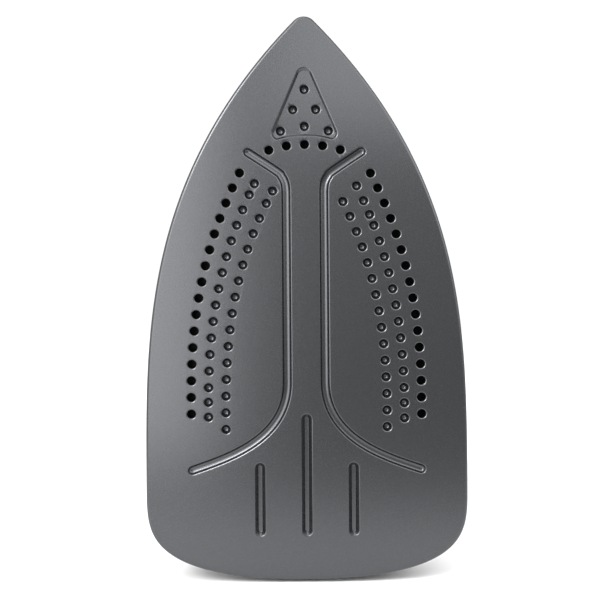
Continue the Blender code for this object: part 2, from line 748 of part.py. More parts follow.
# ---------------------------------------------------------------- housing and tank
def make_body_shell():
    """Rear hull with openings for the dial seat and the lamp."""
    shell = walled("body_shell", hull_rows(0.0, False), hull_rows(-HULL_WALL, False), "charcoal_plastic")
    top = HULL_LOW + HULL_RISE + 0.01
    cut(shell, rod("seat_bore", place(0, 0.040, DIAL_Z), place(0, top, DIAL_Z), SEAT_RADIUS + GAP, None, 24))
    cut(shell, box("lead_way", (-0.0170, 0.0450, 0.0130), (0.0170, 0.0720, 0.0340), None))
    cut(shell, rod("lamp_bore", place(0, 0.050, LAMP_Z), place(0, top, LAMP_Z), LAMP_BORE, None, 12))
    return shell


def make_tank():
    """Clear dome that is the front hull, and the floor with its rear wall."""
    dome = walled("tank_dome", hull_rows(0.0, True), hull_rows(-HULL_WALL, True), "smoke_clear")
    mouth_low, mouth_high = DOOR_Z[0] + MOUTH_MARGIN, DOOR_Z[1] - MOUTH_MARGIN
    cut(dome, box("mouth_tool", (-MOUTH_HALF_WIDTH, 0.0235, mouth_low),
                  (MOUTH_HALF_WIDTH, 0.0600, mouth_high), None))
    needle_way = (place(0, 0.040, NEEDLE_Z), place(0, 0.060, NEEDLE_Z))
    cut(dome, rod("needle_bore", *needle_way, NEEDLE_BORE, None, 12))
    inset = HULL_INSET + HULL_WALL + 2 * GAP
    floor_rear = PARTING_Z + PARTING_SLOPE * (TANK_FLOOR_LOW - HULL_LOW) + 0.001
    heights = [floor_rear + (TANK_FLOOR_TIP - floor_rear) * k / 12 for k in range(13)]
    outline = [(floor_half_width(z, inset), z) for z in heights]
    outline += [(-x, z) for x, z in reversed(outline)]
    base = flat("tank_base", [outline], TANK_FLOOR_LOW, TANK_FLOOR_HIGH, "grey_plastic")
    join(base, rear_wall("tank_rear_wall", inset))
    cut(base, rod("seat_hole", place(0, 0.015, NEEDLE_Z), place(0, 0.030, NEEDLE_Z), 0.0050, None, 16))


def floor_half_width(z, inset):
    """Half the width inside the dome at the top of the tank's floor."""
    share = (TANK_FLOOR_HIGH - HULL_LOW) / (hull_top(z) + HULL_INSET - inset - HULL_LOW)
    return half_width(z, inset) * (1 - share**HULL_ROUND) ** (1 / HULL_ROUND)


def rear_wall(name, inset):
    """The tank's leaning rear wall, just inside the parting line."""
    grow = HULL_INSET - inset
    rings = []
    for shift in REAR_WALL_SHIFTS:
        ring = []
        for k in range(21):
            turn = math.pi * k / 20
            z = parting_height(turn, grow)
            x, h = hull_point(z + shift, turn, grow)
            ring.append(place(x, max(h, TANK_FLOOR_LOW + 0.0004), z + shift))
        rings.append(ring)
    return loft(name, rings, None)


def patch_rows(grow, half, low, high, steps=6):
    """Rows of a patch of the hull's skin over the filler mouth."""
    rows = []
    for r in range(steps + 1):
        z = low + (high - low) * r / steps
        row = []
        for k in range(steps + 1):
            x = half - 2 * half * k / steps
            share = min(1.0, abs(x) / half_width(z, HULL_INSET - grow))
            rise = hull_top(z) + grow - HULL_LOW
            row.append(place(x, HULL_LOW + rise * (1 - share**HULL_ROUND) ** (1 / HULL_ROUND), z))
        rows.append(row)
    return rows


def make_filler():
    """Filler mouth: bezel with two hinge ears, door with its barrel, seal and pin."""
    low, high = DOOR_Z
    hinge_h = hull_top(HINGE_Z) + HINGE_RISE
    rim_low, rim_high = low - 0.0042, high + 0.0008
    bezel = walled("filler_bezel", patch_rows(BEZEL_GROW[1], BEZEL_HALF_WIDTH, rim_low, rim_high),
                   patch_rows(BEZEL_GROW[0], BEZEL_HALF_WIDTH, rim_low, rim_high), "charcoal_plastic")
    cut(bezel, box("bezel_tool", (-0.0066, 0.0235, low + 0.0028), (0.0066, 0.0600, high - 0.0028), None))
    for side, name in ((-1, "left"), (1, "right")):
        x, (across, along) = side * EAR_X, EAR_HALF
        ear = box(f"ear_{name}", (x - across, hinge_h - 0.0027, HINGE_Z - along),
                  (x + across, hinge_h + 0.0017, HINGE_Z + along), None)
        join(bezel, ear)

    def hinge_rod(name, reach, radius, kind, sides=10):
        return rod(name, place(-reach, hinge_h, HINGE_Z), place(reach, hinge_h, HINGE_Z), radius, kind, sides)

    cut(bezel, hinge_rod("ear_bore", PIN_HALF + 0.0005, PIN_BORE, None))
    hinge_rod("door_pin", PIN_HALF, PIN_RADIUS, "steel")
    rear = low + EAR_CLEARANCE
    door = walled("filler_door", patch_rows(DOOR_GROW[1], DOOR_HALF_WIDTH, rear, high),
                  patch_rows(DOOR_GROW[0], DOOR_HALF_WIDTH, rear, high), "charcoal_plastic")
    lug = box("door_lug", (-0.0050, hinge_h - 0.0020, HINGE_Z),
              (0.0050, hinge_h - 0.0004, rear + 0.0015), None)
    join(door, lug)
    join(door, hinge_rod("door_barrel", BARREL_HALF, BARREL_RADIUS, None, 12))
    cut(door, hinge_rod("barrel_bore", PIN_HALF + 0.0005, PIN_BORE, None))
    seal_z = (rear + SEAL_MARGIN, high - SEAL_MARGIN)
    seal = walled("door_seal", patch_rows(DOOR_GROW[0] - GAP, SEAL_HALF_WIDTH, *seal_z),
                  patch_rows(BEZEL_GROW[1] + GAP, SEAL_HALF_WIDTH, *seal_z), "silicone")
    pivot = place(0, hinge_h, HINGE_Z)
    for piece in (door, seal):
        hang_on(piece, pivot)


def make_dosing_valve():
    """Valve seat in the tank floor, lifting needle and the grommet it passes through."""
    seat = ((0.0062, 0.0245), (0.0062, 0.0229), (0.0046, 0.0227), (0.0046, 0.0206),
            (NEEDLE_RADIUS + GAP, 0.0206), (NEEDLE_RADIUS + GAP, 0.0245))
    turned("valve_seat", seat, place(0, 0, NEEDLE_Z), (0, 1, 0), "brass", 16, closed=True)
    roof = hull_top(NEEDLE_Z)
    grommet = ((0.0034, roof + 0.0022), (0.0039, roof + 0.0012), (0.0039, roof - 0.0050),
               (NEEDLE_RADIUS + GAP, roof - 0.0050), (NEEDLE_RADIUS + GAP, roof + 0.0022))
    turned("needle_grommet", grommet, place(0, 0, NEEDLE_Z), (0, 1, 0), "silicone", 16, closed=True)
    foot, head = (place(0, h, NEEDLE_Z) for h in NEEDLE_RANGE)
    hang_on(rod("valve_needle", foot, head, NEEDLE_RADIUS, "brass", 12), foot)


# ---------------------------------------------------------------- handle
def panel_rows(z_range, grow, spread=0.0, steps=9, turns=9):
    """Rows of a panel that covers the top of the grip between two heights."""
    spine = handle_spine()
    arch = [PANEL_TURNS[0] - spread + (PANEL_TURNS[1] - PANEL_TURNS[0] + 2 * spread) * k / turns
            for k in range(turns + 1)]
    rows = []
    for r in range(steps + 1):
        station = station_at(spine, z_range[0] + (z_range[1] - z_range[0]) * r / steps)
        rows.append([handle_point(spine, station, math.pi * turn, grow) for turn in arch])
    return rows


def panel(name, z_range, kind):
    """A top panel of the handle, one wall thick."""
    return walled(name, panel_rows(z_range, 0.0), panel_rows(z_range, -HANDLE_WALL), kind)


def panel_pocket(name, z_range):
    """The opening in the handle shell that the top panels fill, a gap larger all round."""
    wider = (z_range[0] - GAP, z_range[1] + GAP)
    return walled(name, panel_rows(wider, 0.0040, 0.012, 18), panel_rows(wider, -0.0038, 0.012, 18), None)


def button_place(x, depth):
    """A point on a button's axis, depth below the cover's surface."""
    return place(x, BUTTON_SURFACE - depth * math.cos(BUTTON_LEAN),
                 BUTTON_Z - depth * math.sin(BUTTON_LEAN))


BUTTON_AXIS = Vector((0.0, math.cos(BUTTON_LEAN), math.sin(BUTTON_LEAN)))


def make_handle():
    """One hollow loop from the heel to the front of the hull, with two top panels."""
    spine = handle_spine()
    rows = [[handle_point(spine, k, math.pi * n / 8, 0.0) for n in range(16)]
            for k in range(len(spine))]
    shell = tube_surface("handle_shell", rows, "charcoal_plastic")
    thicken(shell, HANDLE_WALL)
    cut(shell, hull_cutter("hull_tool", GAP))
    cut(shell, box("heel_tool", (-0.050, 0.010, -0.010), (0.050, HEEL_TOP, HULL_REAR), None))
    cut(shell, panel_pocket("pad_pocket", (GRIP_PAD_Z[0], HANDLE_COVER_Z[1])), "MANIFOLD")
    nozzle = place(0, NOZZLE_H, 0.160)
    cut(shell, rod("nozzle_bore", nozzle, nozzle + Vector((0, -0.006, 0.030)), NOZZLE_BORE, None, 16))
    outlet = (place(0, GLAND_H - 0.0075, GLAND_Z), place(0, GLAND_H + 0.0225, GLAND_Z))
    cut(shell, rod("gland_bore", *outlet, SOCKET_RADIUS + GAP, None, 20))
    panel("grip_pad", GRIP_PAD_Z, "soft_rubber")
    cover = panel("handle_cover", HANDLE_COVER_Z, "charcoal_plastic")
    across, along = (half + BUTTON_PLAY for half in BUTTON_HALF)
    for side, name in ((-1, "left"), (1, "right")):
        x = side * BUTTON_X
        hole = box(f"button_hole_{name}", (x - across, -0.008, -along), (x + across, 0.008, along), None)
        shift = Matrix.Translation(button_place(0, 0)) @ Matrix.Rotation(BUTTON_LEAN, 4, "X")
        hole.data.transform(shift @ Matrix.Translation((0, -FACE_Y, 0)))
        cut(cover, hole)
    cut(cover, box("slider_slot", (-0.0020, 0.110, SLIDER_Z - 0.0025),
                   (0.0020, 0.145, SLIDER_Z + 0.0105), None))


def make_pump(name, x):
    """A press button with its plunger, return spring and pump cylinder."""
    outer, inner = PUMP_RADIUS, PUMP_RADIUS - 0.001
    barrel = ((outer, -0.0120), (outer, -0.0230), (0.0, -0.0230), (0.0, -0.0218), (inner, -0.0218),
              (inner, -0.0120))
    centre = button_place(x, 0)
    turned(f"{name}_pump", barrel, centre, BUTTON_AXIS, "grey_plastic", 16, closed=True)
    piston = inner - GAP
    plunger = ((0.0, -0.0040), (0.0014, -0.0040), (0.0014, -0.0154), (piston, -0.0154),
               (piston, -0.0172), (0.0, -0.0172))
    turned(f"{name}_plunger", plunger, centre, BUTTON_AXIS, "grey_plastic", 12)
    (across, along), (foot, top) = BUTTON_HALF, BUTTON_RANGE
    cap = box(f"{name}_button", (-across, foot, -along), (across, top, along), "grey_plastic",
              bevel=0.0012)
    cap.data.transform(Matrix.Translation((0, -FACE_Y, 0)))
    cap.matrix_world = Matrix.Translation(centre) @ Matrix.Rotation(BUTTON_LEAN, 4, "X")
    sides = 8
    low, high = SPRING_RANGE
    turn = Vector((0, 0, 1)).rotation_difference(BUTTON_AXIS)
    points = []
    for k in range(SPRING_COILS * sides + 1):
        angle = 2 * math.pi * k / sides
        rise = low + (high - low) * k / (SPRING_COILS * sides)
        coil = Vector((SPRING_RADIUS * math.cos(angle), SPRING_RADIUS * math.sin(angle), rise))
        points.append(centre + turn @ coil)
    wire(f"{name}_spring", points, 0.00035, "steel", 1)


def make_slider():
    """Steam slider on the handle cover: a ribbed thumb piece on a stem through the slot."""
    knob = box("steam_slider", (-0.0060, SLIDER_H, SLIDER_Z - 0.0055),
               (0.0060, SLIDER_H + 0.0030, SLIDER_Z + 0.0050), "grey_plastic", bevel=0.0008)
    stem = box("slider_stem", (-0.0016, SLIDER_H - 0.0060, SLIDER_Z - 0.0021),
               (0.0016, SLIDER_H + 0.0010, SLIDER_Z + 0.0004), None)
    join(knob, stem)
    hang_on(knob, place(0, SLIDER_H, SLIDER_Z))


def make_dial():
    """Temperature dial on its seat, with the shaft down to the thermostat."""
    seat_top = DIAL_LOW - 0.0006
    inner, web = SEAT_RADIUS - SEAT_WALL, 0.0640
    seat = ((SEAT_RADIUS - 0.0008, seat_top), (SEAT_RADIUS, seat_top - 0.0008), (SEAT_RADIUS, SEAT_LOW),
            (inner, SEAT_LOW), (inner, web), (SHAFT_RADIUS + GAP, web), (SHAFT_RADIUS + GAP, seat_top))
    turned("dial_seat", seat, place(0, 0, DIAL_Z), (0, 1, 0), "black_plastic", 32, closed=True)
    dial = ((0.0, DIAL_HIGH), (DIAL_RADIUS - 0.0022, DIAL_HIGH),
            (DIAL_RADIUS - 0.0006, DIAL_HIGH - 0.0010), (DIAL_RADIUS, DIAL_LOW + 0.001),
            (DIAL_RADIUS - 0.0005, DIAL_LOW), (0.0, DIAL_LOW))
    turned("temperature_dial", dial, place(0, 0, DIAL_Z), (0, 1, 0), "grey_plastic", 32)
    shaft_ends = (place(0, THERMOSTAT_HIGH + GAP, DIAL_Z), place(0, DIAL_LOW - GAP, DIAL_Z))
    shaft = rod("dial_shaft", *shaft_ends, SHAFT_RADIUS, "steel", 12)
    hang_on(shaft, place(0, DIAL_LOW, DIAL_Z))


def make_lamp():
    """Pilot lamp in the hull behind the dial, under its lens."""
    roof = hull_top(LAMP_Z)
    edge = LAMP_BORE - GAP
    lens = ((0.0, roof + 0.0016), (0.0020, roof + 0.0013), (edge, roof + 0.0004), (edge, roof - 0.0040),
            (0.0, roof - 0.0040))
    turned("indicator_lens", lens, place(0, 0, LAMP_Z), (0, 1, 0), "amber_clear", 16)
    lamp_ends = (place(0, roof - 0.0150, LAMP_Z), place(0, roof - 0.0045, LAMP_Z))
    rod("indicator_lamp", *lamp_ends, 0.0025, "amber_clear", 10)


def make_nozzle():
    """Spray nozzle in the front of the handle, aimed ahead of the tip."""
    profile = ((0.0, 0.0040), (0.0012, 0.0040), (0.0030, 0.0026), (0.0048, 0.0000), (0.0048, -0.0060),
               (0.0, -0.0060))
    aim = Vector((0, -0.20, 1)).normalized()
    turned("spray_nozzle", profile, place(0, NOZZLE_H - 0.0036, NOZZLE_Z), aim, "grey_plastic", 16)


def make_cord_outlet():
    """Socket ring in the top of the heel, and the gland that swings in it."""
    top, foot, wall = GLAND_H + SOCKET_LIP, GLAND_H - 0.0050, 0.0018
    ring = ((SOCKET_RADIUS, top), (SOCKET_RADIUS, foot), (SOCKET_RADIUS - wall, foot),
            (SOCKET_RADIUS - wall, top - 0.0016), (SOCKET_RADIUS - 0.0026, top))
    turned("cord_socket", ring, place(0, 0, GLAND_Z), (0, 1, 0), "black_plastic", 24, closed=True)
    profile = [(0.0044, 0.0155), (0.0050, 0.0140), (0.0056, 0.0060)]
    profile += [(GLAND_BALL * math.cos(t), GLAND_BALL * math.sin(t))
                for t in (0.6, 0.3, 0.0, -0.35, -0.7, -1.0)]
    profile += [(GLAND_BORE, -0.0068), (GLAND_BORE, 0.0155)]
    turned("cord_gland", profile, place(0, GLAND_H, GLAND_Z), (0, 1, 0), "black_plastic", 20, closed=True)


def heel_outline(share):
    """The rear cover's outline as (x, h), drawn in towards its middle by a share."""
    right = [(0.0, HULL_LOW), (0.0380, HULL_LOW), (0.0425, 0.0235), (0.0425, 0.0320), (0.0400, 0.0430),
             (0.0350, 0.0510), (0.0275, 0.0590), (0.0255, 0.0700), (0.0245, 0.0830), (0.0220, 0.0940),
             (0.0180, 0.1020), (0.0100, 0.1070), (0.0, 0.1085)]
    points = right + [(-x, h) for x, h in reversed(right[1:-1])]
    return [(x * share, HEEL_MIDDLE + (h - HEEL_MIDDLE) * share) for x, h in points]


def make_heel():
    """Rear cover that the iron stands on, its rubber bumper and feet, and two screws."""
    levels = ((HULL_REAR - GAP, 1.0), (0.0075, 0.985), (0.0042, 0.93), (0.0022, 0.84))
    rings = [[place(x, h, z) for x, h in heel_outline(share)] for z, share in levels]
    cover = loft("rear_cover", rings, "charcoal_plastic")
    for side, name in ((-1, "left"), (1, "right")):
        spot = place(side * SCREW_AT[0], SCREW_AT[1], 0.0)
        cut(cover, rod(f"screw_way_{name}", spot, spot + Vector((0, 0, 0.02)), 0.0019, None, 10))
        cut(cover, rod(f"screw_pit_{name}", spot, spot + Vector((0, 0, 0.0055)), 0.0036, None, 12))
        screw = ((0.0, 0.0180), (0.0016, 0.0180), (0.0016, 0.0052), (0.0032, 0.0052), (0.0032, 0.0034),
                 (0.0, 0.0034))
        turned(f"rear_screw_{name}", screw, spot, (0, 0, 1), "steel", 12)
        foot = ((0.0, 0.0019), (0.0048, 0.0019), (0.0050, 0.0006), (0.0044, 0.0), (0.0, 0.0))
        under = place(side * FOOT_AT[0], FOOT_AT[1], 0.0)
        turned(f"heel_foot_{name}", foot, under, (0, 0, 1), "soft_rubber", 16)
    box("heel_bumper", (-0.0180, 0.0300, 0.0), (0.0180, 0.0370, 0.0019), "soft_rubber", bevel=0.0006)


# ---------------------------------------------------------------- electrics
def make_electrics():
    """Terminal block in the heel and the three leads down to the element and the casting."""
    box("terminal_block", (-0.0140, 0.0800, 0.0190), (0.0140, 0.0900, 0.0290), "white_ceramic", bevel=0.0008)
    outer = ((0.0090, 0.0796, 0.0240), (0.0100, 0.0600, 0.0260), (0.0200, 0.0400, 0.0260),
             (0.0270, 0.0270, 0.0200), (0.0300, 0.0177, 0.0165))
    middle = ((0.0, 0.0796, 0.0240), (0.0, 0.0600, 0.0270), (0.0, 0.0400, 0.0280),
              (0.0, 0.0270, 0.0255), (0.0, 0.0177, 0.0250))
    for name, side, route in (("live", -1, outer), ("neutral", 1, outer), ("earth", 1, middle)):
        line = [place(side * x, h, z) for x, h, z in through(route, 2)]
        wire(f"{name}_lead", line, LEAD_RADIUS, f"{name}_sleeve", 1)


def main():
    make_soleplate()
    make_heater()
    make_thermostat()
    make_heat_shield()
    make_body_shell()
    make_tank()
    make_filler()
    make_dosing_valve()
    make_handle()
    make_pump("spray", -BUTTON_X)
    make_pump("steam", BUTTON_X)
    make_slider()
    make_dial()
    make_lamp()
    make_nozzle()
    make_cord_outlet()
    make_heel()
    make_electrics()
    bpy.context.view_layer.update()


main()
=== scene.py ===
# %% [markdown]
# # A steam iron standing on its heel
#
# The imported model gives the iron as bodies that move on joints, and this lesson dresses it. Every
# visible piece is worked out again as a fine surface in the same place, and every piece left as it
# is gets a finish of its own. Lengths are in metres. A point on the iron is (x, h, z): x across, h
# the height above the ironing face, and z up from the table, because the iron stands tip up.

# %% Load the frame
from functools import partial

import bmesh
import bpy
import numpy as np
from mathutils import Matrix, Vector
from mathutils.geometry import delaunay_2d_cdt


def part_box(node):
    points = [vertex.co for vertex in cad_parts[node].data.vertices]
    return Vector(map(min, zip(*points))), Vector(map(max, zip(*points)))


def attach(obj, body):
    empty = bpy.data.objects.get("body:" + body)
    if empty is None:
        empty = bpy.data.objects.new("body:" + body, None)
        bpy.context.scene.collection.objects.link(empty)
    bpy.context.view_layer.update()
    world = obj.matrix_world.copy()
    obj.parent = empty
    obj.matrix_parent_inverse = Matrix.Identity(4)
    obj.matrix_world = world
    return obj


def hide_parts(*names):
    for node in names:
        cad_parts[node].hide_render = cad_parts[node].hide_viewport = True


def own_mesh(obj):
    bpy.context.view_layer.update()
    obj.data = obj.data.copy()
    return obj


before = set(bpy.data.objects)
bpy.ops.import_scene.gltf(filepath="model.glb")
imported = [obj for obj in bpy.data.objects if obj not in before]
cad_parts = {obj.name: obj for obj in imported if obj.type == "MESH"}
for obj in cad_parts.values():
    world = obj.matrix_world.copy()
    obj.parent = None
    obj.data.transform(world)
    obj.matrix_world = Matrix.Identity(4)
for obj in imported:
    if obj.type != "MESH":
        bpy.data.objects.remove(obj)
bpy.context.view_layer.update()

# %% [markdown]
# ## Places shared with the frame
#
# The frame says where each node is, so the main heights are read from its boxes. The rest are the
# few driving sizes of an iron: how the sole bows out, how high the housing arches over it, and how
# the grip loops over both.

# %% Driving sizes
MM = 0.001
GAP = 0.3 * MM  # the seam between two mouldings


def node_span(node, axis):
    """Lowest and highest coordinate of a node along x, y or z (0, 1 or 2)."""
    low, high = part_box(node)
    return low[axis], high[axis]


FACE_Y = node_span("soleplate", 1)[0]
SOLE_THICK = node_span("soleplate", 1)[1] - FACE_Y
SOLE_LOW = node_span("soleplate", 2)[0]
SOLE_HALF_WIDTH = node_span("soleplate", 0)[1]
SOLE_APEX = 224.1 * MM  # where the two sides would meet
WIDEST_Z = 40 * MM
SIDE_POWER, HEEL_ROUND, HEEL_RISE = 3.0, 2.3, 3.9
TIP_RADIUS = 5.5 * MM
EDGE_RADIUS = 1.4 * MM
print("sole is", round(2 * SOLE_HALF_WIDTH / MM, 1), "mm wide and", round(SOLE_THICK / MM, 1), "mm thick")


def place(x, h, z):
    """World points from arrays of x, height above the ironing face, and z."""
    x, h, z = np.broadcast_arrays(x, h, z)
    return np.stack([x, FACE_Y + h, z], -1)


# %% [markdown]
# ## Colours and shader nodes
#
# Two helpers serve every shader below. One turns a colour, written as on a paint chart, into the
# linear values that light is worked out in. The other adds a node to a material or to the room.

# %% A colour and a node


def linear(code):
    """Turns an sRGB colour such as "8A8B8C" into the linear RGBA that a shader takes."""
    tone = np.array([int(code[k:k + 2], 16) for k in (0, 2, 4)]) / 255
    tone = np.where(tone <= 0.04045, tone / 12.92, ((tone + 0.055) / 1.055) ** 2.4)
    return (*tone.tolist(), 1.0)


def add(owner, kind, inputs=(), **settings):
    """Adds a node to a material or the world, with its settings, and sets or links its inputs."""
    made = owner.node_tree.nodes.new("ShaderNode" + kind)
    for name, value in settings.items():
        setattr(made, name, value)
    for socket, value in dict(inputs).items():
        if isinstance(value, bpy.types.NodeSocket):
            owner.node_tree.links.new(value, made.inputs[socket])
        else:
            made.inputs[socket].default_value = value
    return made


print("white in linear values:", linear("FFFFFF"))

# %% [markdown]
# ## Camera, floor and light
#
# The sole is seen square on, as a flat plate held up to the eye, from about arm's length. A satin
# dark plate shows mostly what stands in front of it. So the room is white, with a darker end behind
# the camera, and a large soft box on the left, close to the plate, lays the pale sheen that fades
# towards the middle. A second box lights the tip, a small bright key light draws the rims of the
# holes, and one behind lights the handle. The boxes are hidden from the camera but not from the plate.

# %% Camera
CAMERA_REACH = 0.3907  # from the camera to the sole
VIEW_CENTRE = (-2.2 * MM, 110.7 * MM)  # x and z of the middle of the view
CAMERA_ROLL = np.radians(-0.44)

camera = bpy.data.objects.new("camera", bpy.data.cameras.new("camera"))
bpy.context.scene.collection.objects.link(camera)
bpy.context.scene.camera = camera
camera.data.sensor_width = 36.0
camera.data.lens = 60.0
camera.data.clip_start = 0.01
camera.location = (VIEW_CENTRE[0], FACE_Y - CAMERA_REACH, VIEW_CENTRE[1])
level_view = Matrix.Rotation(np.pi / 2, 3, "X")
camera.rotation_euler = (level_view @ Matrix.Rotation(CAMERA_ROLL, 3, "Z")).to_euler()
bpy.context.scene.view_settings.view_transform = "Standard"
print("camera at", [round(v, 3) for v in camera.location])

# %% Room settings and floor
ROOM_SEEN = 1.05  # what the camera sees of the room
ROOM_WALLS = 1.9  # what the sides of the room cast
ROOM_END = 0.88  # what the end of the room behind the camera casts
ROOM_BACK = 0.55  # what the far end of the room casts, on the side away from the camera
ROOM_FRONT_FADE = (0.55, 0.92)  # cosines from the camera's end over which the room darkens to it
ROOM_BACK_FADE = (-0.7, 0.1)
TABLE_WHITE, TABLE_PAINTED_SHADE = 0.93, 0.30  # the table's reflectance under the iron, and ahead of it a painted shade that the sole reflects but the camera doesn't see
TABLE_END = (-0.30, -0.13)  # y over which the painted shade ahead of the sole fades to the table's white

floor_mesh = bpy.data.meshes.new("floor")
floor_mesh.from_pydata([(-3, -3, 0), (3, -3, 0), (3, 3, 0), (-3, 3, 0)], [], [(0, 1, 2, 3)])
floor = bpy.data.objects.new("floor", floor_mesh)
bpy.context.scene.collection.objects.link(floor)
white_card = bpy.data.materials.new("white matt card")
white_card.use_nodes = True
on_card = add(white_card, "SeparateXYZ", {"Vector": add(white_card, "TexCoord").outputs["Object"]})
# Painted shade: for every ray but the camera's, the table darkens ahead of the iron, so the sole reflects a
# dim table while the camera sees it white.
painted_shade = add(white_card, "MapRange", {
    "Value": on_card.outputs["Y"], "From Min": TABLE_END[0], "From Max": TABLE_END[1],
    "To Min": TABLE_PAINTED_SHADE, "To Max": TABLE_WHITE}, interpolation_type="SMOOTHSTEP")
card_seen = add(white_card, "LightPath").outputs["Is Camera Ray"]
tone = add(white_card, "Mix", {"Factor": card_seen, "A": painted_shade.outputs["Result"], "B": TABLE_WHITE})
card_shader = white_card.node_tree.nodes["Principled BSDF"]
white_card.node_tree.links.new(tone.outputs[0], card_shader.inputs["Base Color"])
card_shader.inputs["Roughness"].default_value = 0.9
floor_mesh.materials.append(white_card)
print("floor:", [round(v, 1) for v in floor.dimensions])

# %% White room
room = bpy.data.worlds.new("white room")
bpy.context.scene.world = room
room.use_nodes = True
way = add(room, "TexCoord").outputs["Generated"]
towards = add(room, "VectorMath", {0: way, 1: (0.0, -1.0, 0.0)}, operation="DOT_PRODUCT").outputs["Value"]
front = add(room, "MapRange", {
    "Value": towards, "From Min": ROOM_FRONT_FADE[0], "From Max": ROOM_FRONT_FADE[1],
    "To Min": ROOM_WALLS, "To Max": ROOM_END}, interpolation_type="SMOOTHSTEP")
back = add(room, "MapRange", {
    "Value": towards, "From Min": ROOM_BACK_FADE[0], "From Max": ROOM_BACK_FADE[1],
    "To Min": ROOM_BACK, "To Max": ROOM_WALLS}, interpolation_type="SMOOTHSTEP")
darker = add(room, "Math", {0: front.outputs["Result"], 1: back.outputs["Result"]}, operation="MINIMUM")
room_seen = add(room, "LightPath").outputs["Is Camera Ray"]
choice = add(room, "Mix", {"Factor": room_seen, "A": darker.outputs[0], "B": ROOM_SEEN})
background = room.node_tree.nodes["Background"]
room.node_tree.links.new(choice.outputs[0], background.inputs["Strength"])
background.inputs["Color"].default_value = linear("FFFFFF")
print("room walls:", ROOM_WALLS, "end:", ROOM_END)

# %% Soft boxes
SIDE_BOX_EDGE, SIDE_BOX_SIZE = -62 * MM, (0.34, 0.66)  # x of the near edge, and the size
TOP_BOX_EDGE, TOP_BOX_X, TOP_BOX_SIZE = 0.220, 0.34, (0.72, 0.34)  # z of the lower edge, middle, size
SIDE_BOX_RADIANCE, TOP_BOX_RADIANCE, KEY_RADIANCE, TABLE_RADIANCE, REAR_RADIANCE = 4.1, 2.5, 22.0, 3.0, 3.2
TABLE_BOX = (-0.16, FACE_Y - 0.10)  # x and y


def soft_box(name, centre, aim, size, radiance):
    """A rectangular area light; its power follows from the radiance its face should have."""
    light = bpy.data.lights.new(name, "AREA")
    light.shape = "RECTANGLE"
    light.size, light.size_y = size
    light.energy = radiance * np.pi * size[0] * size[1]
    lamp = bpy.data.objects.new(name, light)
    bpy.context.scene.collection.objects.link(lamp)
    lamp.location = centre
    lamp.rotation_euler = (Vector(aim) - Vector(centre)).to_track_quat("-Z", "Y").to_euler()
    lamp.visible_camera = False
    return lamp


side_centre = (SIDE_BOX_EDGE - SIDE_BOX_SIZE[0] / 2, FACE_Y - 0.30, 0.28)
top_centre = (TOP_BOX_X, FACE_Y - 0.25, TOP_BOX_EDGE + TOP_BOX_SIZE[1] / 2)
soft_box("left soft box", side_centre, (side_centre[0], FACE_Y, side_centre[2]), SIDE_BOX_SIZE,
         SIDE_BOX_RADIANCE)
soft_box("top soft box", top_centre, (TOP_BOX_X, FACE_Y, top_centre[2]), TOP_BOX_SIZE, TOP_BOX_RADIANCE)
soft_box("key light", (-0.42, FACE_Y - 0.62, 0.50), (0.0, FACE_Y, 0.10), (0.24, 0.24), KEY_RADIANCE)
soft_box("table light", (*TABLE_BOX, 0.80), (*TABLE_BOX, 0.0), (0.4, 0.25), TABLE_RADIANCE)
soft_box("rear soft box", (0.55, 0.75, 0.60), (0.0, 0.05, 0.12), (0.5, 0.5), REAR_RADIANCE)

# %% [markdown]
# ## Surfaces from arrays
#
# Nearly every piece is one of two surfaces. A grid is a rectangle of points given by a formula in
# two parameters. A stack is a closed outline carried along a profile: each ring is the outline
# drawn in by an inset and lifted to a height. Both come to a block of points and a block of quads.
# A merge of coincident points then closes the poles and seams.

# %% Grids, stacks and pieces


def quads(rows, columns, wrap_rows=False, wrap_columns=False):
    """The quads between neighbouring points of a grid stored row after row."""
    row = np.arange(rows if wrap_rows else rows - 1)[:, None]
    column = np.arange(columns if wrap_columns else columns - 1)[None, :]
    after, beside = (row + 1) % rows, (column + 1) % columns
    here, over_there = row * columns, after * columns
    corners = (here + column, here + beside, over_there + beside, over_there + column)
    return np.stack(corners, -1).reshape(-1, 4)


def grid(points, wrap_rows=False, wrap_columns=False):
    """A block (points, faces) from an array of rows x columns x 3."""
    return points.reshape(-1, 3), quads(*points.shape[:2], wrap_rows, wrap_columns)


def stack(outline, profile, spread=place, wrap=False):
    """Rings of outline(inset) lifted to each height of a profile of (inset, height)."""
    loops = [(outline(inset), height) for inset, height in profile]
    rings = [spread(loop[:, 0], height, loop[:, 1]) for loop, height in loops]
    return grid(np.array(rings), wrap_rows=wrap, wrap_columns=True)


def joined(name, blocks):
    """One closed mesh from blocks: coincident points merged, then the faces turned outwards."""
    starts = np.cumsum([0] + [len(points) for points, _ in blocks[:-1]])
    faces = [face for start, (_, block) in zip(starts, blocks) for face in (block + start).tolist()]
    mesh = bpy.data.meshes.new(name)
    mesh.from_pydata(np.concatenate([points for points, _ in blocks]), [], faces)
    shape = bmesh.new()
    shape.from_mesh(mesh)
    bmesh.ops.remove_doubles(shape, verts=shape.verts, dist=2e-6)
    bmesh.ops.recalc_face_normals(shape, faces=shape.faces)
    shape.to_mesh(mesh)
    shape.free()
    return mesh


def piece(name, blocks, material, body, nodes=(), crease=40.0):
    """One object from blocks, smoothly shaded, on its body and with its material."""
    mesh = joined(name, blocks)
    mesh.shade_smooth()
    mesh.set_sharp_from_angle(angle=np.radians(crease))
    mesh.materials.append(material)
    made = bpy.data.objects.new(name, mesh)
    bpy.context.scene.collection.objects.link(made)
    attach(made, body)
    if nodes:
        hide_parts(*nodes)
    print(f"{name}: {len(mesh.vertices)} points, {len(mesh.polygons)} faces, on {body}")
    return made


def even_shading(made):
    """Lets the largest faces set the normals, so that a flat beside a small fillet stays flat."""
    made.modifiers.new("even shading", "WEIGHTED_NORMAL").keep_sharp = True


